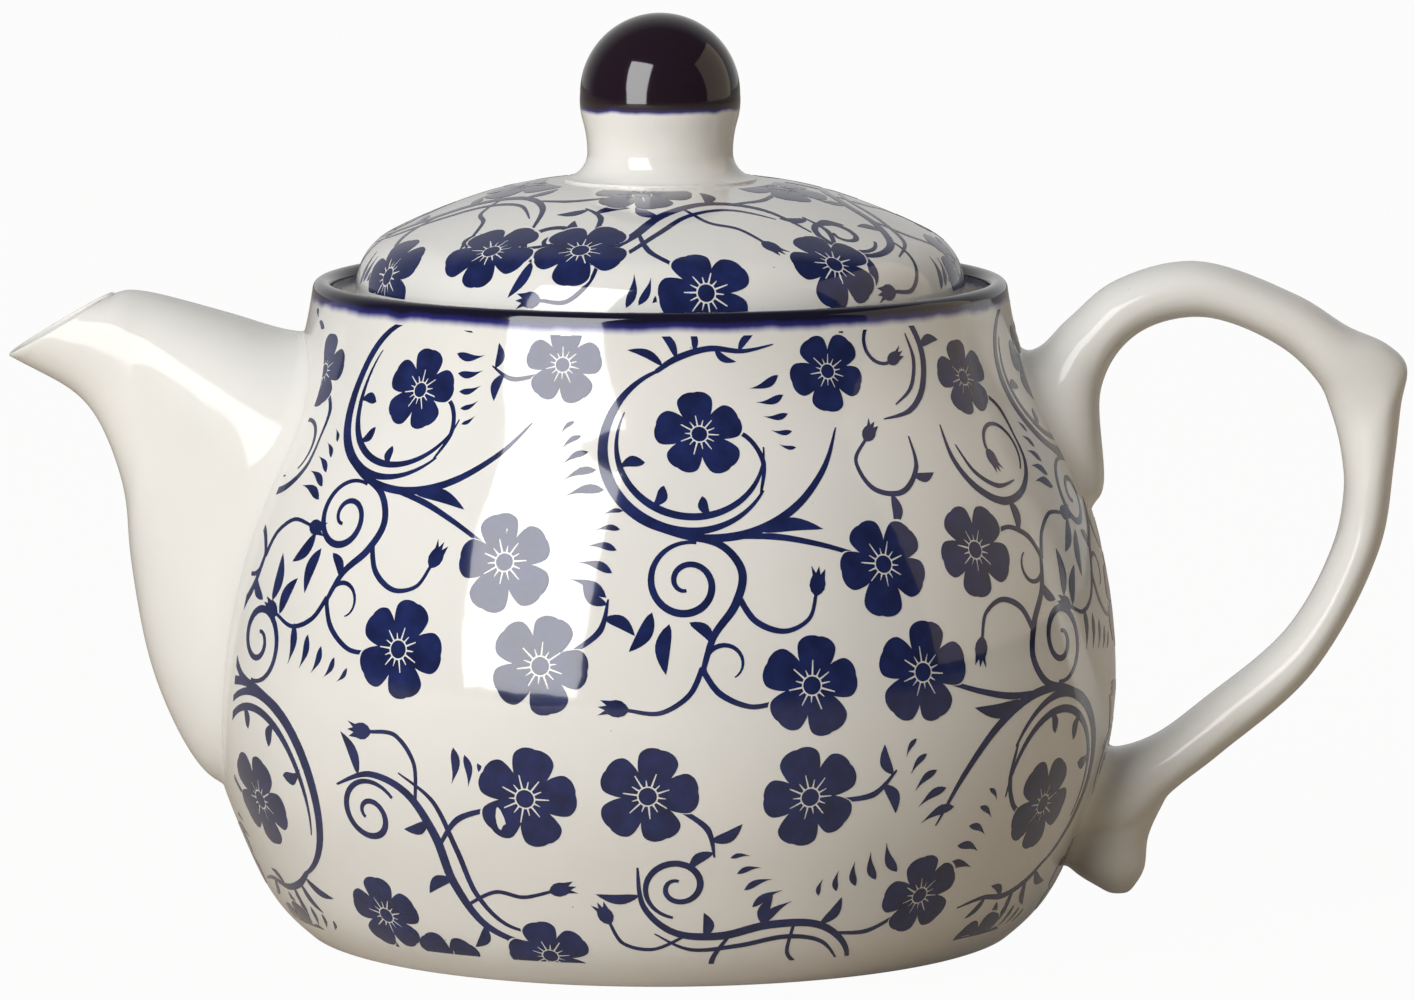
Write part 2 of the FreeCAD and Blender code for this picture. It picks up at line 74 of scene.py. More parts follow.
Pair = tuple[float, float]
Triple = tuple[float, float, float]
Station = tuple[Pair, Pair, float]
Shape = tuple[int, list[Pair]]
Cell = tuple[int, int]


class Cobalt(Enum):
    """Where a porcelain piece carries a dipped or banded cobalt colour."""

    NONE = "plain"
    RIM = "rim band"
    CAP = "knob cap"


def linear(code: str) -> tuple[float, float, float, float]:
    """Turns an sRGB hex colour into a linear RGBA colour.

    Args:
        code: The colour as "#RRGGBB".

    Returns:
        The linear colour with full alpha.
    """
    parts = [int(code[place:place + 2], 16) / 255.0 for place in (1, 3, 5)]
    flat = [part / 12.92 if part <= 0.04045 else ((part + 0.055) / 1.055) ** 2.4 for part in parts]
    return flat[0], flat[1], flat[2], 1.0


def add_node(tree: bpy.types.NodeTree, kind: str, settings: dict | None = None, **links) -> bpy.types.Node:
    """Adds one shader node, sets its options and inputs, and links what feeds it.

    Args:
        tree: The node tree that gets the node.
        kind: The node's type name.
        settings: Options of the node by attribute name; "stops" are a colour ramp's places and hex colours.
        **links: Inputs by name, with underscores for spaces, or by number as i0, i1 and so on; an output
            socket is linked, any other value is set.

    Returns:
        The new node.
    """
    node = tree.nodes.new(kind)
    options = dict(settings or {})
    stops = options.pop("stops", ())
    for name, value in options.items():
        setattr(node, name, value)
    if stops:
        elements = node.color_ramp.elements
        while len(elements) < len(stops):
            elements.new(0.5)
        for element, (place, code) in zip(elements, stops):
            element.position = place
            element.color = linear(code)
    for name, value in links.items():
        key = int(name[1:]) if name[0] == "i" and name[1:].isdigit() else name.replace("_", " ")
        socket = node.inputs[key]
        if isinstance(value, bpy.types.NodeSocket):
            tree.links.new(value, socket)
        else:
            socket.default_value = value
    return node


def new_material(name: str) -> tuple[bpy.types.Material, bpy.types.NodeTree]:
    """Starts a material with an empty node tree.

    Args:
        name: The material's name.

    Returns:
        The material and its tree.
    """
    material = bpy.data.materials.new(name)
    material.use_nodes = True
    material.node_tree.nodes.clear()
    return material, material.node_tree


def rays_seen(tree: bpy.types.NodeTree) -> tuple[bpy.types.NodeSocket, bpy.types.NodeSocket]:
    """Tells what looks at a surface or at the world.

    Args:
        tree: The node tree of the surface or the world.

    Returns:
        Two outputs: 1 for the camera's own rays, and 1 for rays by way of a glossy or a clear surface.
    """
    path = add_node(tree, "ShaderNodeLightPath")
    mirrored = add_node(
        tree, "ShaderNodeMath", {"operation": "MAXIMUM"},
        i0=path.outputs["Is Glossy Ray"], i1=path.outputs["Is Transmission Ray"],
    )
    return path.outputs["Is Camera Ray"], mirrored.outputs[0]


@dataclass(frozen=True)
class ClearGlaze:
    """Clear feldspar glaze, which fires to a sharp, slightly rippled gloss."""

    # Gives the eye sharp highlights whose edges waver a little.
    ior: float = 1.52
    coat_ior: float = 1.5
    sheen: float = 0.3
    gloss: Pair = (0.8, 0.035)
    ripple_mm: float = 9.0
    ripple_height_mm: float = 1.2
    ripple_share: float = 0.05

    def cover(
        self, tree: bpy.types.NodeTree, coords: bpy.types.NodeSocket, colour: bpy.types.NodeSocket,
        roughness: bpy.types.NodeSocket | float,
    ) -> None:
        """Lays the glaze over a colour and ends the material with it.

        Args:
            tree: The material's node tree.
            coords: Object coordinates.
            colour: The colour under the glaze.
            roughness: How dull the shine is below the glaze's own gloss.
        """
        ripple = add_node(
            tree, "ShaderNodeTexNoise", Vector=coords, Scale=1.0 / (self.ripple_mm * MM), Detail=2.0,
        )
        bump = add_node(
            tree, "ShaderNodeBump",
            Strength=self.ripple_share, Distance=self.ripple_height_mm * MM, Height=ripple.outputs["Fac"],
        )
        shader = add_node(
            tree, "ShaderNodeBsdfPrincipled",
            Base_Color=colour, Roughness=roughness, IOR=self.ior, Specular_IOR_Level=self.sheen,
            Normal=bump.outputs["Normal"], Coat_Weight=self.gloss[0], Coat_Roughness=self.gloss[1],
            Coat_IOR=self.coat_ior, Coat_Normal=bump.outputs["Normal"],
        )
        add_node(tree, "ShaderNodeOutputMaterial", Surface=shader.outputs["BSDF"])


@dataclass(frozen=True)
class GlazedPorcelain:
    """Hard-paste porcelain, cast, biscuit fired and dipped in a clear feldspar glaze.

    The warm white varies faintly with the thickness of the glaze and has a few tiny dark iron specks.
    """

    # Gives the eye a warm, faintly clouded white under a hard shine, and a blue with soft edges.
    white: str = "#E9E7E2"
    thick_glaze: str = "#E4E3DE"
    speck: str = "#8A8072"
    cobalt_deep: str = "#131126"
    cap_deep: str = "#20131E"
    cobalt_blue: str = "#2A2B78"
    cobalt_wash: str = "#7478BE"
    glaze: ClearGlaze = ClearGlaze()
    cloud_mm: float = 22.0
    cloud_range: Pair = (0.35, 0.65)
    dullness: Pair = (0.06, 0.13)
    speck_mm: float = 6.5
    speck_share: float = 0.022
    speck_rarity: float = 0.72
    rim_edge_mm: float = 104.9
    rim_fade_mm: float = 2.7
    cap_edge_mm: float = 136.2
    cap_fade_mm: float = 1.5
    wave_mm: float = 7.0
    wave_squash: float = 0.2
    sway_mm: float = 1.5
    band_range: Triple = (0.0, 0.45, 0.85)
    band_cover: float = 0.55

    def make(self, name: str, cobalt: Cobalt) -> bpy.types.Material:
        """Builds the material.

        Args:
            name: The material's name.
            cobalt: Which cobalt edge the piece carries.

        Returns:
            The finished material.
        """
        material, tree = new_material(name)
        coords = add_node(tree, "ShaderNodeTexCoord").outputs["Object"]
        cloud = add_node(
            tree, "ShaderNodeTexNoise", Vector=coords, Scale=1.0 / (self.cloud_mm * MM), Detail=3.0,
        )
        whites = list(zip(self.cloud_range, (self.thick_glaze, self.white)))
        tint = add_node(tree, "ShaderNodeValToRGB", {"stops": whites}, Fac=cloud.outputs["Fac"])
        cells = add_node(
            tree, "ShaderNodeTexVoronoi", Vector=coords, Scale=1.0 / (self.speck_mm * MM), Randomness=1.0,
        )
        dot = add_node(
            tree, "ShaderNodeMath", {"operation": "LESS_THAN"},
            i0=cells.outputs["Distance"], i1=self.speck_share,
        )
        sparse = add_node(tree, "ShaderNodeSeparateColor", Color=cells.outputs["Color"])
        rare = add_node(
            tree, "ShaderNodeMath", {"operation": "GREATER_THAN"},
            i0=sparse.outputs["Red"], i1=self.speck_rarity,
        )
        fleck = add_node(
            tree, "ShaderNodeMath", {"operation": "MULTIPLY"}, i0=dot.outputs[0], i1=rare.outputs[0],
        )
        speckled = add_node(
            tree, "ShaderNodeMix", {"data_type": "RGBA"},
            i0=fleck.outputs[0], i6=tint.outputs["Color"], i7=linear(self.speck),
        )
        colour = speckled.outputs[2]
        if cobalt is not Cobalt.NONE:
            colour = self.banded(tree, coords, colour, cobalt)
        smear = add_node(
            tree, "ShaderNodeMapRange",
            Value=cloud.outputs["Fac"], To_Min=self.dullness[0], To_Max=self.dullness[1],
        )
        self.glaze.cover(tree, coords, colour, smear.outputs["Result"])
        return material

    def banded(
        self, tree: bpy.types.NodeTree, coords: bpy.types.NodeSocket, base: bpy.types.NodeSocket,
        cobalt: Cobalt,
    ) -> bpy.types.NodeSocket:
        """Lays the cobalt band over the white, from its soft wavy lower edge up.

        Args:
            tree: The material's node tree.
            coords: Object coordinates.
            base: The colour under the band.
            cobalt: The rim's band or the knob's cap.

        Returns:
            The mixed colour.
        """
        edge, fade, deep = self.rim_edge_mm, self.rim_fade_mm, self.cobalt_deep
        if cobalt is Cobalt.CAP:
            edge, fade, deep = self.cap_edge_mm, self.cap_fade_mm, self.cap_deep
        place = add_node(tree, "ShaderNodeSeparateXYZ", Vector=coords)
        upright = add_node(tree, "ShaderNodeMapping", Vector=coords, Scale=(1.0, 1.0, self.wave_squash))
        wave = add_node(
            tree, "ShaderNodeTexNoise",
            Vector=upright.outputs["Vector"], Scale=1.0 / (self.wave_mm * MM), Detail=3.0, Roughness=0.5,
        )
        sway = add_node(
            tree, "ShaderNodeMath", {"operation": "MULTIPLY_ADD"},
            i0=wave.outputs["Fac"], i1=self.sway_mm * MM, i2=-self.sway_mm / 2.0 * MM,
        )
        height = add_node(
            tree, "ShaderNodeMath", {"operation": "ADD"}, i0=place.outputs["Z"], i1=sway.outputs[0],
        )
        rise = add_node(
            tree, "ShaderNodeMapRange", Value=height.outputs[0],
            From_Min=edge * MM, From_Max=(edge + fade) * MM,
        )
        blues = list(zip(self.band_range, (self.cobalt_wash, self.cobalt_blue, deep)))
        depth = add_node(tree, "ShaderNodeValToRGB", {"stops": blues}, Fac=rise.outputs["Result"])
        cover = add_node(
            tree, "ShaderNodeMapRange", {"interpolation_type": "SMOOTHSTEP"},
            Value=rise.outputs["Result"], From_Max=self.band_cover,
        )
        mixed = add_node(
            tree, "ShaderNodeMix", {"data_type": "RGBA"},
            i0=cover.outputs["Result"], i6=base, i7=depth.outputs["Color"],
        )
        return mixed.outputs[2]


@dataclass(frozen=True)
class CobaltPrint:
    """Underglaze cobalt transfer, laid on the biscuit and sunk under the same clear glaze.

    The ink pools a little, so its blue runs from navy to a lighter violet blue within a motif.
    """

    # Gives the eye a blue that is never quite flat, under the same shine as the white.
    navy: str = "#161E45"
    blue: str = "#212D63"
    pool_mm: float = 3.5
    pool_range: Pair = (0.3, 0.75)
    dullness: float = 0.1
    glaze: ClearGlaze = ClearGlaze()

    def make(self, name: str) -> bpy.types.Material:
        """Builds the print's material.

        Args:
            name: The material's name.

        Returns:
            The finished material.
        """
        material, tree = new_material(name)
        coords = add_node(tree, "ShaderNodeTexCoord").outputs["Object"]
        pool = add_node(
            tree, "ShaderNodeTexNoise", Vector=coords, Scale=1.0 / (self.pool_mm * MM), Detail=4.0,
        )
        blues = list(zip(self.pool_range, (self.navy, self.blue)))
        ink = add_node(tree, "ShaderNodeValToRGB", {"stops": blues}, Fac=pool.outputs["Fac"])
        self.glaze.cover(tree, coords, ink.outputs["Color"], self.dullness)
        return material


def arc_points(start: Pair, heading: Pair, end: Pair, step: float) -> tuple[list[Pair], Pair]:
    """Points along the arc that leaves start along heading and meets end.

    Args:
        start: Radius and height where the arc begins.
        heading: Its unit direction there.
        end: Where it ends.
        step: The spacing of the points.

    Returns:
        The points after start, up to end, and the heading at the end.
    """
    dx, dy = end[0] - start[0], end[1] - start[1]
    chord = math.hypot(dx, dy)
    bend = math.atan2(heading[0] * dy - heading[1] * dx, heading[0] * dx + heading[1] * dy)
    count = max(2, math.ceil(chord / step))
    first = math.atan2(heading[1], heading[0])
    points = []
    for place in range(1, count + 1):
        turned = 2.0 * bend * place / count
        if abs(bend) < TINY:
            reach, aim = chord * place / count, first
        else:
            reach, aim = chord * math.sin(turned / 2.0) / math.sin(bend), first + turned / 2.0
        points.append((start[0] + reach * math.cos(aim), start[1] + reach * math.sin(aim)))
    last = first + 2.0 * bend
    return points, (math.cos(last), math.sin(last))


def smooth_run(corners: list[Pair], heading: Pair, step: float = 1.2) -> list[Pair]:
    """Points along arcs through the corners, each tangent to the one before.

    Args:
        corners: The points that the arcs pass through.
        heading: The unit direction at the first of them.
        step: The spacing of the points.

    Returns:
        The points of the run.
    """
    points = [corners[0]]
    for here, there in zip(corners, corners[1:]):
        more, heading = arc_points(here, heading, there, step)
        points += more
    return points


def rounded(corners: list[Triple], step: float = 3.0) -> list[Pair]:
    """A run of straight lines whose corners are rounded.

    Args:
        corners: Radius, height and rounding radius of each corner.
        step: The spacing of points along the straight parts.

    Returns:
        The points of the run.
    """
    points: list[Pair] = []
    for place, (x, y, radius) in enumerate(corners):
        if radius <= 0.0 or place in (0, len(corners) - 1):
            bent = [(x, y)]
        else:
            before = Vector(corners[place - 1][:2]) - Vector((x, y))
            after = Vector(corners[place + 1][:2]) - Vector((x, y))
            half = before.angle(after) / 2.0
            back = radius / math.tan(half)
            start = Vector((x, y)) + before.normalized() * back
            end = Vector((x, y)) + after.normalized() * back
            heading = -before.normalized()
            arc, _ = arc_points(tuple(start), tuple(heading), tuple(end), radius * ARC_STEP)
            bent = [tuple(start)] + arc
        if points:
            last = points[-1]
            count = max(1, math.ceil(math.dist(last, bent[0]) / step))
            for part in range(1, count):
                share = part / count
                points.append(tuple(a + (b - a) * share for a, b in zip(last, bent[0])))
        points += bent
    return points


def ribbed_smooth(points: list[Pair], rounds: int) -> list[Pair]:
    """Evens out the bend along a run, as a potter's rib does, without pulling it in.

    Args:
        points: The run's points, evenly spaced.
        rounds: How many strokes it gets.

    Returns:
        The evened points, with the ends kept.
    """
    for stroke in range(2 * rounds):
        pull = RIB_PUSH if stroke % 2 else RIB_PULL
        inner = [
            tuple(b + pull * ((a + c) / 2.0 - b) for a, b, c in zip(before, here, after))
            for before, here, after in zip(points, points[1:], points[2:])
        ]
        points = [points[0]] + inner + [points[-1]]
    return points


class Meridian:
    """A surface of revolution's outline, measured along its length."""

    NEAR_AXIS = 0.5

    def __init__(self, points: list[Pair]) -> None:
        """Takes the outline and measures it.

        Args:
            points: Radius and height of its points, in order.
        """
        self.points = points
        self.length = [0.0]
        self.turned = [0.0]
        for here, there in zip(points, points[1:]):
            run = math.dist(here, there)
            self.length.append(self.length[-1] + run)
            middle = max(self.NEAR_AXIS, (here[0] + there[0]) / 2.0)
            self.turned.append(self.turned[-1] + run / middle)

    def at(self, table: list[float], amount: float) -> tuple[float, float, float, float]:
        """The place and outward normal where a measure reaches an amount.

        Args:
            table: The measure of each point, such as length.
            amount: The amount to reach.

        Returns:
            Radius, height, and the normal's two parts.
        """
        place = min(max(bisect.bisect_right(table, amount) - 1, 0), len(table) - 2)
        share = (amount - table[place]) / (table[place + 1] - table[place])
        here, there = self.points[place], self.points[place + 1]
        slope = self.slope(place)
        other = self.slope(min(place + 1, len(table) - 2))
        back = self.slope(max(place - 1, 0))
        low = ((slope[0] + back[0]) / 2.0, (slope[1] + back[1]) / 2.0)
        high = ((slope[0] + other[0]) / 2.0, (slope[1] + other[1]) / 2.0)
        way = (low[0] + (high[0] - low[0]) * share, low[1] + (high[1] - low[1]) * share)
        size = math.hypot(*way)
        return (
            here[0] + (there[0] - here[0]) * share,
            here[1] + (there[1] - here[1]) * share,
            way[1] / size,
            -way[0] / size,
        )

    def slope(self, place: int) -> Pair:
        """The direction of one span.

        Args:
            place: The number of the point that the span starts from.

        Returns:
            The direction as a unit vector, outwards and up.
        """
        here, there = self.points[place], self.points[place + 1]
        run = math.dist(here, there)
        return (there[0] - here[0]) / run, (there[1] - here[1]) / run

    def at_height(self, height: float) -> tuple[float, float, float, float]:
        """Place and normal at a height, for an outline that only rises."""
        return self.at([point[1] for point in self.points], height)


def select(*pieces: bpy.types.Object) -> None:
    """Selects these objects alone and makes the first one active."""
    bpy.ops.object.select_all(action="DESELECT")
    for piece in pieces[::-1]:
        piece.select_set(True)
        bpy.context.view_layer.objects.active = piece


def begin_edit(piece: bpy.types.Object) -> None:
    """Selects one object alone and opens it in edit mode with all of it selected.

    Args:
        piece: The object.
    """
    select(piece)
    bpy.ops.object.mode_set(mode="EDIT")
    bpy.ops.mesh.select_all(action="SELECT")


def end_edit() -> None:
    """Goes back to object mode."""
    bpy.ops.object.mode_set(mode="OBJECT")


def close_up(piece: bpy.types.Object, angle: float = SHARP_ANGLE) -> None:
    """Welds seams and poles, points the faces outwards and shades the piece smooth.

    Args:
        piece: The object.
        angle: Edges sharper than this many degrees stay sharp.
    """
    begin_edit(piece)
    bpy.ops.mesh.remove_doubles(threshold=WELD_MM * MM)
    bpy.ops.mesh.dissolve_degenerate(threshold=SLIVER_MM * MM)
    bpy.ops.mesh.normals_make_consistent(inside=False)
    end_edit()
    bpy.ops.object.shade_smooth_by_angle(angle=math.radians(angle))


def turn_up(name: str, outline: list[Pair], steps: int) -> bpy.types.Object:
    """Turns an outline round the pot's axis, as on a wheel.

    Args:
        name: The new object's name.
        outline: Radius and height of each point, from axis to axis or round a closed loop.
        steps: How many steps the turn has.

    Returns:
        The turned object.
    """
    select()
    bpy.ops.mesh.primitive_circle_add(vertices=len(outline))
    piece = bpy.context.object
    piece.name = name
    piece.data.name = name
    for vertex, (radius, height) in zip(piece.data.vertices, outline):
        vertex.co = (0.0, -radius * MM, height * MM)
    begin_edit(piece)
    if outline[0][0] < ON_AXIS_MM and outline[-1][0] < ON_AXIS_MM:
        shell = bmesh.from_edit_mesh(piece.data)
        shell.verts.ensure_lookup_table()
        near = ON_AXIS_MM * MM
        loose = [edge for edge in shell.edges if all(abs(vertex.co.y) < near for vertex in edge.verts)]
        bmesh.ops.delete(shell, geom=loose, context="EDGES")
        bmesh.update_edit_mesh(piece.data)
    bpy.ops.mesh.select_all(action="SELECT")
    bpy.ops.mesh.spin(steps=steps, angle=TURN, center=(0, 0, 0), axis=(0, 0, 1))
    end_edit()
    close_up(piece)
    return piece


def wrap_up(name: str, rings: list[list[Vector]]) -> bpy.types.Object:
    """Wraps a grid round rings of points and closes its two ends.

    Args:
        name: The new object's name.
        rings: The rings in order, each with as many points.

    Returns:
        The wrapped object, one closed skin.
    """
    around = len(rings[0])
    select()
    bpy.ops.mesh.primitive_grid_add(x_subdivisions=around, y_subdivisions=len(rings) - 1)
    piece = bpy.context.object
    piece.name = name
    piece.data.name = name
    for place, vertex in enumerate(piece.data.vertices):
        row, column = divmod(place, around + 1)
        vertex.co = rings[row][column % around] * MM
    begin_edit(piece)
    bpy.ops.mesh.remove_doubles(threshold=SEAM_MM * MM)
    bpy.ops.mesh.select_all(action="DESELECT")
    bpy.ops.mesh.select_non_manifold()
    bpy.ops.mesh.fill_holes(sides=0)
    end_edit()
    return piece


def apply_all(piece: bpy.types.Object) -> None:
    """Applies an object's modifiers in order.

    Args:
        piece: The object.
    """
    select(piece)
    for modifier in list(piece.modifiers):
        bpy.ops.object.modifier_apply(modifier=modifier.name)


def drill_through(
    piece: bpy.types.Object, spots: list[Triple], width: float, depth: float, sides: int, tilt: float = 0.0,
) -> None:
    """Drills straight round holes through a piece.

    Args:
        piece: The object.
        spots: The middle of each hole.
        width: How wide the holes are.
        depth: How long the drill is.
        sides: How many sides a hole has.
        tilt: Degrees from upright about the Y axis.
    """
    drills = []
    for spot in spots:
        select()
        bpy.ops.mesh.primitive_cylinder_add(
            vertices=sides, radius=width / 2.0 * MM, depth=depth * MM,
            location=tuple(part * MM for part in spot), rotation=(0.0, math.radians(tilt), 0.0),
        )
        drills.append(bpy.context.object)
    if len(drills) > 1:
        select(*drills)
        bpy.ops.object.join()
    pierce = piece.modifiers.new("drill", "BOOLEAN")
    pierce.operation = "DIFFERENCE"
    pierce.solver = "EXACT"
    pierce.object = drills[0]
    apply_all(piece)
    bpy.data.objects.remove(drills[0])
    bpy.ops.object.shade_smooth_by_angle(angle=math.radians(SHARP_ANGLE))


def dress(piece: bpy.types.Object, material: bpy.types.Material, body: str, *nodes: str) -> None:
    """Gives a piece its finish and its place in the frame.

    Args:
        piece: The object.
        material: Its material.
        body: The CAD body it rides on.
        *nodes: CAD nodes that it stands for.
    """
    piece.data.materials.clear()
    piece.data.materials.append(material)
    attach(piece, body)
    if nodes:
        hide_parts(*nodes)
    LOG.info("%s: %d vertices, rides on %s", piece.name, len(piece.data.vertices), body)


def spread(stations: list[Station], per_span: int) -> list[Station]:
    """Fills in stations on smooth curves through the given ones.

    Args:
        stations: First rail, second rail and half width at each station.
        per_span: How many new stations each span gets.

    Returns:
        The finer list of stations.
    """
    flat = [(*first, *second, half) for first, second, half in stations]
    knots = [0.0]
    for here, there in zip(flat, flat[1:]):
        run = (math.dist(here[:2], there[:2]) + math.dist(here[2:4], there[2:4])) / 2.0
        knots.append(knots[-1] + math.sqrt(run))
    tangents = []
    for place in range(len(flat)):
        low, high = max(place - 1, 0), min(place + 1, len(flat) - 1)
        if low == place or high == place:
            span = knots[high] - knots[low]
            tangents.append([(b - a) / span for a, b in zip(flat[low], flat[high])])
            continue
        before, after = knots[place] - knots[low], knots[high] - knots[place]
        tangents.append([
            ((b - a) / before * after + (c - b) / after * before) / (before + after)
            for a, b, c in zip(flat[low], flat[place], flat[high])
        ])
    finer = []
    for place in range(len(flat) - 1):
        span = knots[place + 1] - knots[place]
        last = per_span + 1 if place == len(flat) - 2 else per_span
        for part in range(last):
            t = part / per_span
            weights = (2 * t**3 - 3 * t**2 + 1, t**3 - 2 * t**2 + t, 3 * t**2 - 2 * t**3, t**3 - t**2)
            values = [
                weights[0] * a + weights[1] * span * m + weights[2] * b + weights[3] * span * n
                for a, m, b, n in zip(flat[place], tangents[place], flat[place + 1], tangents[place + 1])
            ]
            finer.append(((values[0], values[1]), (values[2], values[3]), values[4]))
    return finer


def oval(
    station: Station, around: int, fullness: Pair = (2.0, 2.0), crest: float = 0.5,
    inset: float = 0.0, ahead: float = 0.0,
) -> list[Vector]:
    """An egg-shaped ring between two rails.

    Args:
        station: First rail, second rail and half width.
        around: How many points the ring has.
        fullness: Towards the second and the first rail: 2 gives an ellipse, more a fuller curve.
        crest: Where the ring is widest, as a share of the way from the first rail to the second.
        inset: How far the ring lies inside the rails.
        ahead: How far the ring is moved along the piece.

    Returns:
        The ring's points.
    """
    first, second, half = station
    low, high = Vector((first[0], 0.0, first[1])), Vector((second[0], 0.0, second[1]))
    middle, whole = low.lerp(high, crest), (high - low).length
    way = (high - low).normalized()
    along = Vector((-way.z, 0.0, way.x))
    upper = max(LEAST_HALF, whole * (1.0 - crest) - inset)
    lower = max(LEAST_HALF, whole * crest - inset)
    wide = max(LEAST_HALF, half - inset)
    ring = []
    for place in range(around):
        angle = TURN * place / around
        c, s = math.cos(angle), math.sin(angle)
        tall, full = (upper, fullness[0]) if c > 0.0 else (lower, fullness[1])
        grow = (abs(c) ** full + abs(s) ** full) ** (-1.0 / full)
        across = Vector((0.0, wide * s * grow, 0.0))
        ring.append(middle + way * (tall * c * grow) + across + along * ahead)
    return ring


@dataclass
class PotBody:
    """The thrown shell of the pot, with its lip, lid seat, foot and strainer."""

    outer: list[Pair] = field(default_factory=lambda: [
        (58.8, 0.0), (66.4, 9.0), (72.7, 24.0), (75.8, 42.0), (71.9, 69.3), (63.9, 88.0), (57.6, 106.9),
    ])
    belly: int = 3
    lip_radius: float = 1.6
    lip_inside: float = 54.4
    seat_height: float = 102.0
    mouth_radius: float = 46.0
    ledge: float = 3.4
    wall: float = 4.2
    floor_height: float = 7.0
    floor_bend: float = 6.0
    ledge_bend: float = 5.0
    foot_width: float = 4.2
    foot_recess: float = 2.5
    hole_width: float = 5.0
    hole_pitch: float = 9.0
    hole_height: float = 62.0
    outer_holes: int = 6
    hole_sides: int = 24
    drill_place: float = -72.0
    drill_length: float = 30.0
    strokes: int = 500
    lip_steps: int = 16
    steps: int = 208

    def skin(self) -> Meridian:
        """The outside of the pot.

        Returns:
            Its outline, from the foot to the lip.
        """
        down = smooth_run(self.outer[self.belly::-1], (0.0, -1.0))
        up = smooth_run(self.outer[self.belly:], (0.0, 1.0))
        return Meridian(ribbed_smooth(down[::-1] + up[1:], self.strokes))

    def outline(self) -> list[Pair]:
        """The whole closed outline, from under the floor round to its top.

        Returns:
            Radius and height of each point.
        """
        skin = self.skin().points
        foot_in = self.outer[0][0] - self.foot_width
        foot = rounded([
            (0.0, self.foot_recess, 0.0), (foot_in - 1.5, self.foot_recess, 1.0), (foot_in, 0.0, 0.9),
            (skin[0][0], 0.0, 1.0), (skin[2][0], skin[2][1], 0.0),
        ])
        centre, top = self.outer[-1][0] - self.lip_radius, self.outer[-1][1]
        lip = []
        for place in range(1, self.lip_steps):
            angle = math.pi * place / self.lip_steps
            lip.append((centre + self.lip_radius * math.cos(angle), top + self.lip_radius * math.sin(angle)))
        wall = Meridian(skin)
        lowest = self.floor_height + self.floor_bend
        highest = self.seat_height - self.ledge - self.ledge_bend
        inside = []
        for place in range(len(skin)):
            r, z, nr, nz = wall.at(wall.length, wall.length[place])
            deep = (r - self.wall * nr, z - self.wall * nz)
            if lowest < deep[1] < highest:
                inside.append(deep)
        high, low = inside[-1], inside[0]
        seat = rounded([
            (self.lip_inside, top, 0.0), (self.lip_inside, self.seat_height, 0.9),
            (self.mouth_radius, self.seat_height, 0.8),
            (self.mouth_radius, self.seat_height - self.ledge, 0.8),
            (high[0] - 1.0, self.seat_height - self.ledge - 0.4, 2.5), (high[0], high[1], 0.0),
        ])
        base = rounded([
            (low[0], low[1], 0.0), (low[0] - 5.5, self.floor_height, 5.0), (0.0, self.floor_height, 0.0),
        ])
        return foot + skin[3:] + lip + seat + inside[-2:0:-1] + base

    def build(self) -> bpy.types.Object:
        """Turns the shell and pierces the strainer behind the spout.

        Returns:
            The shell.
        """
        shell = turn_up("pot_shell", self.outline(), self.steps)
        spots = []
        for place in range(self.outer_holes):
            angle = TURN * place / self.outer_holes
            across, up = self.hole_pitch * math.cos(angle), self.hole_pitch * math.sin(angle)
            spots.append((self.drill_place, across, self.hole_height + up))
        spots.append((self.drill_place, 0.0, self.hole_height))
        drill_through(shell, spots, self.hole_width, self.drill_length, self.hole_sides, 90.0)
        return shell


class Joint:
    """How a luted piece meets the pot: its root runs out in a round fillet and ends inside the wall."""

    OVERLAP = 0.3

    def __init__(self, skin: Meridian, fillet: Triple, depth: float = 1.6) -> None:
        """Measures the pot where the piece is luted on.

        Args:
            skin: The pot's outside.
            fillet: The fillet at the root's upper edge, sides and lower edge.
            depth: How far the root reaches into the wall.
        """
        self.skin, self.fillet, self.depth = skin, fillet, depth
        self.low, self.high = skin.points[0][1], skin.points[-1][1]

    def gap(self, point: Vector) -> tuple[float, Vector]:
        """Measures a point against the pot.

        Args:
            point: The point.

        Returns:
            How far it lies outside the pot, and the way straight out of the pot there.
        """
        radius = math.hypot(point.x, point.y)
        r, _, nr, nz = self.skin.at_height(min(max(point.z, self.low), self.high))
        out = Vector((point.x / radius * nr, point.y / radius * nr, nz))
        return (radius - r) * nr, out

    def seat(self, ring: list[Vector]) -> list[Vector]:
        """Runs a ring out near the pot and keeps its sunk points inside the wall.

        Args:
            ring: The ring's points, the first at its second rail.

        Returns:
            The seated points.
        """
        middle = sum(ring, Vector()) / len(ring)
        seated = []
        for place, point in enumerate(ring):
            lean = math.cos(TURN * place / len(ring))
            end = self.fillet[0] if lean > 0.0 else self.fillet[2]
            round_off = self.fillet[1] + (end - self.fillet[1]) * lean * lean
            gap, out = self.gap(point)
            left = min(round_off, max(0.0, round_off - gap - self.OVERLAP))
            away = point - middle
            away -= out * away.dot(out)
            if left > 0.0 and away.length > TINY:
                run = round_off - math.sqrt(max(0.0, round_off ** 2 - left ** 2))
                point = point + away.normalized() * run
            gap, out = self.gap(point)
            if gap < -self.depth:
                point = point + out * (-self.depth - gap)
            seated.append(point)
        return seated


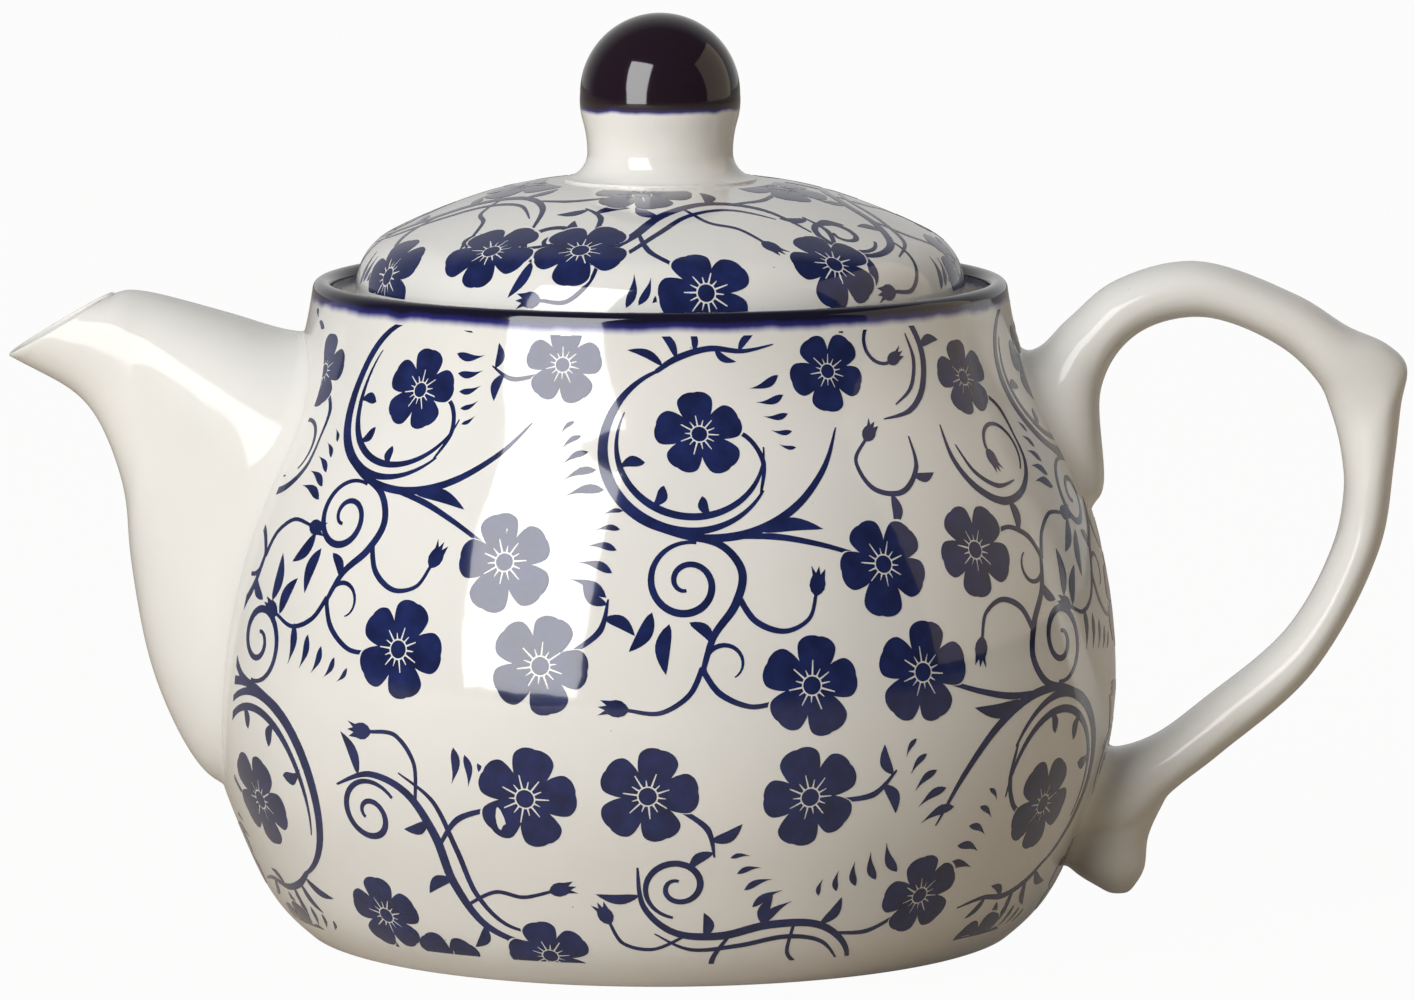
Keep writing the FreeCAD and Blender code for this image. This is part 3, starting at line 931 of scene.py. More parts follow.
@dataclass
class Spout:
    """The hollow spout, luted to the belly, with a rounded pouring lip."""

    # Under side, upper side and half width, from the root to the mouth.
    stations: list[Station] = field(default_factory=lambda: [
        ((-67.6, 22.9), (-52.6, 99.4), 26.6), ((-75.6, 26.9), (-60.6, 99.4), 26.0),
        ((-84.0, 42.9), (-70.8, 102.3), 20.4), ((-87.8, 61.5), (-78.8, 104.6), 15.5),
        ((-89.3, 74.7), (-84.4, 106.0), 12.6), ((-95.5, 88.1), (-88.3, 106.4), 10.7),
        ((-107.9, 95.6), (-90.5, 105.8), 8.8),
    ])
    wall: float = 3.0
    wall_growth: float = 0.09
    lip: float = 0.42
    lip_turns: tuple[float, ...] = (30.0, 60.0, 90.0, 120.0, 150.0)
    fillet: Triple = (1.2, 3.6, 0.6)
    bore_depth: float = 2.4
    root_shape: Triple = (2.2, 3.5, 0.7)
    mouth_shape: Triple = (2.1, 2.5, 0.6)
    strokes: int = 300
    around: int = 96
    per_span: int = 14
    per_root_span: int = 3

    def refine(self) -> list[Station]:
        """Sets all the stations on one even sweep.

        Returns:
            The stations, closer together near the root, where the fillet bends.
        """
        flat = [(*first, *second, half) for first, second, half in spread(self.stations, self.per_span)]
        even = [(run[:2], run[2:4], run[4]) for run in ribbed_smooth(flat, self.strokes)]
        near = 2 * self.per_span
        return spread(even[:near + 1], self.per_root_span)[:-1] + even[near:]

    def section(self, station: Station) -> tuple[Pair, float]:
        """Shapes the section: slab-sided at the root, oval at the mouth.

        Args:
            station: Where along the spout it is.

        Returns:
            How full the section is above and below, and where it is widest.
        """
        root, mouth = self.stations[0][2], self.stations[-1][2]
        share = ((root - station[2]) / (root - mouth)) ** 2
        upper, lower, crest = (a + (b - a) * share for a, b in zip(self.root_shape, self.mouth_shape))
        return (upper, lower), crest

    def build(self, skin: Meridian) -> bpy.types.Object:
        """Skins the outside, rolls the lip over and skins the bore.

        Args:
            skin: The pot's outside.

        Returns:
            The spout.
        """
        joint = Joint(skin, self.fillet)
        fine = self.refine()
        rings = [joint.seat(oval(station, self.around, *self.section(station))) for station in fine]
        mouth = fine[-1]
        for angle in self.lip_turns:
            turn = math.radians(angle)
            inset, ahead = self.lip * (1.0 - math.cos(turn)), self.lip * math.sin(turn)
            rings.append(oval(mouth, self.around, *self.section(mouth), inset, ahead))
        rings.append(oval(mouth, self.around, *self.section(mouth), 2.0 * self.lip))
        bore = Joint(skin, (0.0, 0.0, 0.0), self.bore_depth)
        for back, station in enumerate(fine[-2::-1], 1):
            inset = min(self.wall, 2.0 * self.lip + self.wall_growth * back)
            rings.append(bore.seat(oval(station, self.around, *self.section(station), inset)))
        spout = wrap_up("spout_skin", rings)
        close_up(spout, ROOT_ANGLE)
        return spout


@dataclass
class Handle:
    """The ear handle with its thumb spur, flared roots and hanging lobe."""

    # Inner side, outer side and half width, from the upper root round to the lower one.
    stations: list[Station] = field(default_factory=lambda: [
        ((65.1, 72.1), (53.5, 96.3), 12.8), ((73.1, 72.1), (61.5, 96.3), 12.5),
        ((73.1, 90.0), (67.6, 101.5), 9.4), ((78.4, 98.8), (75.4, 107.9), 9.0),
        ((89.4, 102.1), (88.8, 111.2), 8.8), ((103.0, 97.0), (106.0, 105.4), 8.8),
        ((109.4, 90.8), (114.4, 100.2), 8.6), ((111.2, 86.7), (120.5, 97.5), 8.2),
        ((112.5, 82.5), (123.9, 93.9), 8.0), ((113.3, 78.5), (123.0, 87.9), 8.2),
        ((113.7, 73.0), (121.9, 77.9), 8.4), ((112.0, 63.8), (119.7, 63.8), 8.4),
        ((104.4, 49.6), (109.0, 43.1), 8.4), ((91.0, 38.0), (93.2, 28.9), 9.0),
        ((82.7, 31.8), (84.9, 22.3), 9.8), ((75.4, 29.5), (77.4, 14.5), 11.2),
        ((67.4, 29.5), (69.4, 14.5), 11.4),
    ])
    # Side towards the pot, far side and half width, from the top down.
    lobe: list[Station] = field(default_factory=lambda: [
        ((69.8, 24.5), (84.8, 22.3), 10.0), ((66.8, 15.1), (81.5, 14.9), 9.4),
        ((68.2, 9.8), (80.9, 9.5), 8.2), ((74.4, 5.5), (78.6, 5.5), 3.6),
    ])
    ear_fullness: float = 2.25
    lobe_fullness: float = 2.1
    fillet: Triple = (1.7, 2.8, 2.2)
    root_depth: float = 1.8
    around: int = 56
    per_span: int = 14
    voxel: float = 0.55
    soft_strokes: int = 10

    def build(self, skin: Meridian) -> bpy.types.Object:
        """Skins the ear and its lobe and works them together as wet clay is.

        Args:
            skin: The pot's outside.

        Returns:
            The handle.
        """
        joint = Joint(skin, self.fillet, self.root_depth)
        clay = []
        for name, stations, full in (
            ("handle_skin", self.stations, self.ear_fullness),
            ("handle_lobe", self.lobe, self.lobe_fullness),
        ):
            finer = spread(stations, self.per_span)
            part = wrap_up(name, [joint.seat(oval(station, self.around, (full, full))) for station in finer])
            close_up(part, ROOT_ANGLE)
            clay.append(part)
        select(*clay)
        bpy.ops.object.join()
        ear = clay[0]
        blend = ear.modifiers.new("blend", "REMESH")
        blend.mode = "VOXEL"
        blend.voxel_size = self.voxel * MM
        soften = ear.modifiers.new("soften", "SMOOTH")
        soften.factor = 0.5
        soften.iterations = self.soft_strokes
        apply_all(ear)
        bpy.ops.object.shade_smooth()
        return ear


@dataclass
class Lid:
    """The domed lid with its upright edge, hanging collar and steam vent."""

    edge_radius: float = 50.5
    edge_low: float = 102.0
    edge_high: float = 107.0
    dome: list[Pair] = field(default_factory=lambda: [
        (50.5, 107.0), (45.0, 116.0), (31.0, 121.9), (16.0, 124.8),
    ])
    crown_rise: float = 0.4
    knob_seat: float = 8.0
    collar_out: float = 45.0
    collar_in: float = 41.5
    collar_low: float = 88.0
    collar_bend: float = 2.0
    wall: float = 4.0
    vent_width: float = 3.6
    vent_place: float = 23.0
    vent_height: float = 121.0
    vent_sides: int = 32
    drill_length: float = 20.0
    steps: int = 176

    def skin(self) -> Meridian:
        """The dome's outside, from the crown out to the edge."""
        crown = (0.0, self.dome[-1][1] + self.crown_rise)
        return Meridian([crown] + smooth_run(self.dome, (0.0, 1.0))[::-1])

    def outline(self) -> list[Pair]:
        """The closed outline, from the crown out over the dome and back underneath.

        Returns:
            Radius and height of each point.
        """
        dome = smooth_run(self.dome, (0.0, 1.0))[::-1]
        under = Meridian(dome)
        hollow = []
        for place in range(0, len(dome), 2):
            r, z, nr, nz = under.at(under.length, under.length[place])
            deep = (r - self.wall * nr, z - self.wall * abs(nz))
            if self.collar_bend < deep[0] < self.collar_in - self.collar_bend:
                hollow.append(deep)
        skirt = rounded([
            (self.edge_radius, self.edge_high, 0.0), (self.edge_radius, self.edge_low, 0.8),
            (self.collar_out, self.edge_low, 0.6), (self.collar_out, self.collar_low, 1.4),
            (self.collar_in, self.collar_low, 1.4), (self.collar_in, hollow[-1][1] - 2.5, 2.0),
            (hollow[-1][0], hollow[-1][1], 0.0),
        ])
        crown = [(0.0, dome[0][1]), (self.knob_seat, dome[0][1])]
        return crown + dome + skirt[1:] + hollow[-2::-1] + [(0.0, hollow[0][1])]

    def build(self) -> bpy.types.Object:
        """Turns the lid and drills its vent.

        Returns:
            The lid.
        """
        lid = turn_up("lid_shell", self.outline(), self.steps)
        vent = (0.0, self.vent_place, self.vent_height)
        drill_through(lid, [vent], self.vent_width, self.drill_length, self.vent_sides)
        return lid


@dataclass
class LidKnob:
    """The ball knob on its waisted neck."""

    foot_radius: float = 16.0
    foot_height: float = 124.8
    foot_hollow: float = 8.0
    neck: list[Pair] = field(default_factory=lambda: [(12.05, 129.4), (16.0, 125.15)])
    shoulder: Pair = (12.8, 134.6)
    ball_radius: float = 13.25
    ball_height: float = 139.2
    ball_steps: int = 24
    steps: int = 112

    def outline(self) -> list[Pair]:
        """The closed outline, from the foot up to the crown of the ball.

        Returns:
            Radius and height of each point.
        """
        foot = [(reach, self.foot_height) for reach in (0.0, self.foot_hollow, self.foot_radius)]
        flare = smooth_run(self.neck, (0.0, -1.0), 0.5)[::-1]
        widest = (self.ball_radius, self.ball_height)
        rise = smooth_run([self.neck[0], self.shoulder, widest], (0.0, 1.0), 0.8)
        ball = []
        for place in range(1, self.ball_steps):
            angle = math.pi / 2.0 * place / self.ball_steps
            reach, up = self.ball_radius * math.cos(angle), self.ball_radius * math.sin(angle)
            ball.append((reach, self.ball_height + up))
        return foot + flare + rise[1:] + ball + [(0.0, self.ball_height + self.ball_radius)]

    def build(self) -> bpy.types.Object:
        """Turns the knob."""
        return turn_up("knob_skin", self.outline(), self.steps)


def flowing(points: list[Pair], per: int, closed: bool = False) -> list[Pair]:
    """A smooth line through the given points.

    Args:
        points: The points to pass through.
        per: How many steps each span gets.
        closed: Whether the line runs back to its start.

    Returns:
        The finer line.
    """
    count = len(points)
    line: list[Pair] = []
    for place in range(count if closed else count - 1):
        if closed:
            p = [points[(place + shift) % count] for shift in (-1, 0, 1, 2)]
        else:
            p = [points[min(max(place + shift, 0), count - 1)] for shift in (-1, 0, 1, 2)]
        for part in range(per):
            t = part / per
            line.append(tuple(
                p[1][k] + 0.5 * t * (p[2][k] - p[0][k]
                                     + t * (2 * p[0][k] - 5 * p[1][k] + 4 * p[2][k] - p[3][k]
                                            + t * (3 * p[1][k] - p[0][k] - 3 * p[2][k] + p[3][k])))
                for k in (0, 1)
            ))
    if not closed:
        line.append(points[-1])
    return line


class Motif(Enum):
    """The branches and small fillers that the ornament is made of."""

    SPRAY = "spray"
    SPRIG = "sprig"
    LOOP = "loop"
    POSY = "posy"
    TENDRIL = "tendril"
    WISP = "wisp"
    BLOOM = "bloom"


Plan = tuple[tuple[Motif, int, int], ...]


@dataclass
class Brush:
    """Draws the ornament's motifs as flat shapes, in layers: odd layers are ink, even ones stay bare."""

    x: float = 0.0
    y: float = 0.0
    turn: float = 0.0
    flip: bool = False
    size: float = 1.0
    weight: float = 1.22
    vine_steps: int = 9
    blade_steps: int = 9
    blade_round: float = 0.85
    leaf_late: float = 0.85
    drop_late: float = 1.7
    coil_step: float = 0.9
    coil_least: int = 8
    dot_sides: int = 18
    flower_scale: float = 1.08
    stamens: int = 14
    bare_edge: float = 0.5
    bare_ring: float = 0.21
    eye: float = 0.178
    drop_share: float = 0.26
    drop_bow: float = 0.1
    frond_fall: float = 0.13
    bud_length: float = 5.0
    shapes: list[Shape] = field(default_factory=list)
    chance: random.Random = field(default_factory=lambda: random.Random(7))

    def at(self, x: float, y: float, turn: float, flip: bool, size: float) -> None:
        """Sets where, how turned and how large the next motif is drawn."""
        self.x, self.y, self.turn, self.flip, self.size = x, y, math.radians(turn), flip, size

    def draw(self, motif: Motif) -> None:
        """Draws one motif at the set place.

        Args:
            motif: Which one.
        """
        steps = {
            Motif.SPRAY: self.spray, Motif.SPRIG: self.sprig, Motif.LOOP: self.loop,
            Motif.POSY: self.posy, Motif.TENDRIL: self.tendril, Motif.WISP: self.wisp,
            Motif.BLOOM: self.bloom,
        }
        steps[motif]()

    def put(self, layer: int, outline: list[Pair]) -> None:
        """Lays one outline down at the set place.

        Args:
            layer: The layer that it belongs to.
            outline: Its points, round the motif's own origin.
        """
        c, s = math.cos(self.turn) * self.size, math.sin(self.turn) * self.size
        side = -1.0 if self.flip else 1.0
        self.shapes.append((layer, [
            (self.x + c * side * px - s * py, self.y + s * side * px + c * py) for px, py in outline
        ]))

    def stroke(self, line: list[Pair], widths: list[float]) -> None:
        """Draws a brush line along a path.

        Args:
            line: The path's points.
            widths: The widths that the line runs through, evenly spread along it.
        """
        count = len(line)
        sides = []
        for place, (px, py) in enumerate(line):
            before, after = line[max(place - 1, 0)], line[min(place + 1, count - 1)]
            dx, dy = after[0] - before[0], after[1] - before[1]
            run = math.hypot(dx, dy) or 1.0
            spot = place / (count - 1) * (len(widths) - 1)
            low = min(int(spot), len(widths) - 2)
            half = self.weight * (widths[low] + (widths[low + 1] - widths[low]) * (spot - low)) / 2.0
            sides.append((
                (px - dy / run * half, py + dx / run * half), (px + dy / run * half, py - dx / run * half),
            ))
        for (a, b), (c, d) in zip(sides, sides[1:]):
            self.put(1, [a, b, d, c])

    def vine(self, points: list[Pair], widths: list[float]) -> None:
        """A flowing stem through the points."""
        self.stroke(flowing(points, self.vine_steps), widths)

    def coil(self, centre: Pair, radii: Pair, angles: Pair, widths: list[float]) -> None:
        """Draws a spiral or an arc.

        Args:
            centre: Its centre.
            radii: The radius where it starts and where it ends.
            angles: The same for the angle, in degrees.
            widths: The widths that the line runs through.
        """
        sweep = math.radians(angles[1] - angles[0])
        count = max(self.coil_least, int(abs(sweep) * max(radii) / self.coil_step))
        line = []
        for place in range(count + 1):
            share = place / count
            reach = radii[0] + (radii[1] - radii[0]) * share
            angle = math.radians(angles[0]) + sweep * share
            line.append((centre[0] + reach * math.cos(angle), centre[1] + reach * math.sin(angle)))
        self.stroke(line, widths)

    def blade(self, base: Pair, angle: float, length: float, width: float, bow: float, late: float) -> None:
        """Draws a leaf-like shape that bows to one side.

        Args:
            base: Where it starts.
            angle: Where it points, in degrees.
            length: How long it is.
            width: How wide it is.
            bow: How far it bows, as a share of its length.
            late: Where it is widest: below 1 before the middle, above 1 towards the tip.
        """
        a = math.radians(angle)
        ux, uy = math.cos(a), math.sin(a)
        left, right = [], []
        for place in range(self.blade_steps + 1):
            t = place / self.blade_steps
            half = width / 2.0 * max(0.0, math.sin(math.pi * t ** late)) ** self.blade_round
            off = bow * length * math.sin(math.pi * t)
            px, py = base[0] + ux * length * t - uy * off, base[1] + uy * length * t + ux * off
            left.append((px - uy * half, py + ux * half))
            right.append((px + uy * half, py - ux * half))
        self.put(1, left + right[-2:0:-1])

    def leaf(self, base: Pair, angle: float, length: float, width: float, bow: float) -> None:
        """A pointed leaf."""
        self.blade(base, angle, length, width, bow, self.leaf_late)

    def drop(self, base: Pair, angle: float, length: float, width: float, bow: float) -> None:
        """A brush drop, pointed where it starts and round where it ends."""
        self.blade(base, angle, length, width, bow, self.drop_late)

    def frond(self, base: Pair, angle: float, count: int, length: float, fan: float, step: float) -> None:
        """Draws a row of drops that fan out and shrink along their base line.

        Args:
            base: Where the first drop starts.
            angle: Where it points, in degrees.
            count: How many drops there are.
            length: How long the first one is.
            fan: How far each one turns from the one before.
            step: How far apart they start.
        """
        a = math.radians(angle)
        for place in range(count):
            share = 1.0 - self.frond_fall * place
            spot = (base[0] - math.sin(a) * step * place, base[1] + math.cos(a) * step * place)
            long = length * share
            self.drop(spot, angle + fan * place, long, length * self.drop_share * share, self.drop_bow)

    def bud_stem(self, points: list[Pair], widths: list[float]) -> None:
        """Draws a thin stem that ends in a closed bud.

        Args:
            points: The points that the stem flows through.
            widths: The widths that it runs through.
        """
        line = flowing(points, self.vine_steps)
        self.stroke(line, widths)
        (x0, y0), (x1, y1) = line[-3], line[-1]
        self.bud((x1, y1), math.degrees(math.atan2(y1 - y0, x1 - x0)), self.bud_length)

    def bud(self, base: Pair, angle: float, length: float) -> None:
        """Draws a closed bud with a crown of three points.

        Args:
            base: Where it starts.
            angle: Where it points, in degrees.
            length: How long it is.
        """
        a = math.radians(angle)
        c, s = math.cos(a) * length, math.sin(a) * length
        side = [
            (0.0, 0.05), (0.12, 0.2), (0.3, 0.29), (0.5, 0.29),
            (0.68, 0.24), (1.0, 0.34), (0.78, 0.13), (1.04, 0.06),
        ]
        other = [
            (0.76, -0.04), (1.0, -0.18), (0.66, -0.22), (0.48, -0.28),
            (0.28, -0.27), (0.12, -0.18), (0.0, -0.05),
        ]
        self.put(1, [(base[0] + c * t - s * w, base[1] + s * t + c * w) for t, w in side + other])

    def flower(self, centre: Pair, radius: float, turn: float) -> None:
        """Draws a five-petalled flower with bare stamens round a dark eye.

        Args:
            centre: Its centre.
            radius: How far its petals reach.
            turn: How far it is turned, in degrees.
        """
        radius *= self.flower_scale
        half = [(0.06, 30), (0.32, 39), (0.5, 37), (0.72, 32), (0.9, 26), (0.985, 16), (1.0, 6)]
        petal = [(r, -a) for r, a in half] + [(0.985, -1)] + half[::-1]
        for place in range(5):
            axis = math.radians(turn + 72 * place)
            grow = radius * self.chance.uniform(0.95, 1.04)
            warp = self.chance.uniform(-2.5, 2.5)
            rim = [(r * grow, axis + math.radians(a + warp * r)) for r, a in petal]
            smooth = flowing([(r * math.cos(a), r * math.sin(a)) for r, a in rim], 3, True)
            grown = 1.0 + self.bare_edge / radius
            wider = [(px * grown, py * grown) for px, py in smooth]
            self.put(2, [(centre[0] + px, centre[1] + py) for px, py in wider])
            self.put(3, [(centre[0] + px, centre[1] + py) for px, py in smooth])
        self.disc(4, centre, self.bare_ring * radius)
        for place in range(self.stamens):
            a = TURN * place / self.stamens + math.radians(turn)
            far = radius * (0.47 if place % 2 else 0.35) * self.chance.uniform(0.92, 1.08)
            ray = [(0.2 * radius, a - 0.1), (0.2 * radius, a + 0.1), (far, a + 0.025), (far, a - 0.025)]
            self.put(4, [(centre[0] + r * math.cos(b), centre[1] + r * math.sin(b)) for r, b in ray])
        self.disc(5, centre, self.eye * radius)

    def disc(self, layer: int, centre: Pair, radius: float) -> None:
        """Draws a round dot.

        Args:
            layer: The layer that it belongs to.
            centre: Its centre.
            radius: Its radius.
        """
        spots = [TURN * place / self.dot_sides for place in range(self.dot_sides)]
        rim = [(radius * math.cos(a), radius * math.sin(a)) for a in spots]
        self.put(layer, [(centre[0] + px, centre[1] + py) for px, py in rim])

    def spray(self) -> None:
        """The main branch: a big double scroll, a volute, a flower in the bow and side shoots."""
        self.coil((0, 0), (17.6, 16.4), (108, 322), [0.6, 1.4, 1.8, 1.7, 1.0, 0.4])
        self.coil((0.8, 0.6), (15.5, 14.0), (150, 352), [0.2, 0.9, 1.2, 1.1, 0.8, 0.25])
        self.vine(
            [(-5.6, 16.7), (-0.6, 19.4), (6.4, 20.8), (13.6, 19.6), (20.6, 20.4)], [0.8, 1.2, 1.1, 0.8, 0.2],
        )
        self.leaf((-4, 17.8), 152, 8.5, 1.9, -0.12)
        self.leaf((-1, 19.2), 120, 7.5, 1.8, -0.12)
        self.leaf((3, 20.3), 96, 5.6, 1.5, -0.1)
        self.leaf((12.6, 19.7), 42, 6.0, 1.6, 0.1)
        self.leaf((7.4, 20.7), -36, 5.6, 1.6, -0.15)
        self.vine([(12.4, -10.6), (14.0, -4.4), (11.6, 1.2), (6, 4)], [0.35, 0.8, 0.8, 0.6])
        self.flower((2.2, 2.6), 8.3, 18)
        self.drop((-14.6, -4.0), 14, 5.8, 2.4, 0.18)
        self.drop((-9.0, -11.8), 52, 5.4, 2.2, -0.18)
        self.drop((3.0, -14.6), 112, 4.8, 2.0, 0.16)
        self.vine(
            [(-8, -15.6), (0, -18.0), (9.4, -17.8), (18.4, -14.0), (26, -7.0), (31, 1.0)],
            [0.4, 1.2, 1.3, 1.2, 0.9, 0.2],
        )
        self.leaf((11, -17.8), -4, 12, 2.6, 0.1)
        self.vine([(5, -18.2), (13.6, -19.0), (21.4, -21.2), (28, -23.8)], [0.6, 1.0, 0.8, 0.6])
        self.flower((33.4, -26.4), 8.2, 40)
        self.vine(
            [(-3, -17.6), (3.6, -19.6), (6.8, -24.6), (5.0, -30.2), (0.8, -35.2), (-1.6, -41.0)],
            [0.4, 1.1, 1.2, 1.2, 1.0, 0.7],
        )
        self.coil((-3.0, -25.8), (7.4, 1.3), (72, 620), [0.5, 1.0, 1.1, 0.9, 0.8, 0.5])
        self.leaf((-9.4, -30.4), 236, 7.8, 2.5, 0.1)
        self.leaf((-6.6, -32.6), 262, 8.6, 2.6, -0.1)
        self.leaf((-3.2, -32.6), 312, 5.8, 2.0, 0.15)
        self.bud_stem(
            [(5.6, -28.8), (8.2, -33.4), (13.0, -35.6), (17.6, -34.0), (19.4, -30.2)], [0.9, 0.9, 0.6, 0.5],
        )
        self.bud_stem([(-1.6, -40.4), (-4.2, -44.8), (-9.2, -47.4), (-14.4, -46.6)], [0.8, 0.7, 0.5])
        self.vine([(-1.6, -40.8), (1.0, -45.0), (6.0, -47.6), (11.0, -47.2)], [0.8, 0.9, 0.7, 0.6])
        self.flower((16.8, -45.2), 8.0, 5)
        self.coil((2.4, -40.2), (3.8, 2.6), (200, -60), [0.6, 0.7, 0.5, 0.2])

    def loop(self) -> None:
        """A shoot that bends round on itself, with a bud inside and a flower at its end."""
        self.vine(
            [(14, 9), (7, 11.6), (0, 10.4), (-5.6, 5.4), (-7.0, -2), (-4, -8.6), (3, -11.6)],
            [0.2, 0.9, 1.2, 1.3, 1.1, 0.8, 0.3],
        )
        self.vine([(9, 8.6), (2.6, 8.4), (-2.6, 4.6), (-4.4, -1.2)], [0.2, 0.7, 0.8, 0.2])
        self.coil((2.0, -3.2), (6.4, 4.6), (200, 424), [0.3, 0.7, 0.7, 0.6])
        self.bud((4.0, 0.9), 172, 5.0)
        self.vine([(-1.0, -10.2), (7.0, -12.4), (13.0, -9.6)], [0.3, 0.9, 0.6])
        self.flower((18.0, -6.4), 8.0, 52)
        self.frond((-8.2, -8.0), 232, 5, 7.2, -8, 3.2)
        self.leaf((-6.2, 3.6), 158, 6.4, 2.3, 0.14)

    def sprig(self) -> None:
        """A smaller branch: an S of vine with two flowers, a volute and a frond."""
        self.vine(
            [
                (-26, -4), (-18, -10.6), (-8.6, -11.6), (0, -6.4),
                (6.4, 0.8), (14, 5), (22, 3.6), (27.6, -2.6),
            ],
            [0.3, 0.9, 1.3, 1.5, 1.5, 1.2, 0.9, 0.3],
        )
        self.vine(
            [(-20, -7.0), (-12, -9.0), (-4.6, -6.0), (1.8, 0.6), (9, 6.6), (17, 7.4)],
            [0.2, 0.7, 0.9, 0.9, 0.7, 0.2],
        )
        self.coil((19.4, -3.4), (6.6, 1.2), (118, -420), [0.5, 1.0, 1.0, 0.8, 0.5])
        self.vine([(-13, -12.0), (-18.6, -15.6), (-21.6, -21)], [0.5, 0.9, 0.6])
        self.flower((-23.2, -27.2), 8.0, 30)
        self.vine([(5, -0.4), (3.8, 6.4), (-0.8, 11.8)], [0.5, 0.9, 0.6])
        self.flower((-5.0, 16.6), 8.2, 74)
        self.bud_stem([(-4.0, -9.0), (-7.6, -3.4), (-12.6, -1.4), (-16.4, 2.4)], [0.5, 0.7, 0.5])
        self.bud_stem([(12, 4.6), (15.0, 10.6), (20.4, 12.8), (25.0, 10.4)], [0.5, 0.7, 0.5])
        self.leaf((0.6, -5.6), -62, 6.8, 2.4, 0.14)
        self.leaf((-8.6, -11.8), -86, 6.6, 2.3, -0.14)
        self.leaf((8.6, 2.6), -50, 5.6, 2.1, -0.14)
        self.frond((7.4, 11.6), 66, 4, 6.4, -10, 3.1)
        self.leaf((24.0, 2.0), 34, 8.0, 2.1, 0.12)

    def posy(self) -> None:
        """A single flower on a curved stem with two leaves."""
        self.vine([(-9, -9), (-7.6, -3.6), (-3, 0)], [0.25, 0.9, 0.6])
        self.flower((2.6, 2.4), 8.0, 33)
        self.leaf((-8.2, -5.8), 150, 6.2, 2.2, 0.14)
        self.leaf((-8.8, -8.0), -40, 5.6, 2.0, 0.14)

    def tendril(self) -> None:
        """A thin stem that curls round to a bud, with a leaf."""
        self.bud_stem(
            [(9, -6), (3, -8.6), (-3.4, -6.6), (-5.4, -0.6), (-1.6, 4.2), (3.6, 3.4)],
            [0.2, 0.8, 0.9, 0.8, 0.6, 0.5],
        )
        self.leaf((-4.8, -4.6), 200, 6.4, 2.2, 0.14)
        self.leaf((1.0, -8.2), -60, 5.2, 1.9, -0.14)

    def wisp(self) -> None:
        """A short row of drops."""
        self.frond((-3.4, -6.0), 12, 5, 7.2, 9, 3.3)

    def bloom(self) -> None:
        """A flower by itself."""
        self.flower((0, 0), 8.0, 15)


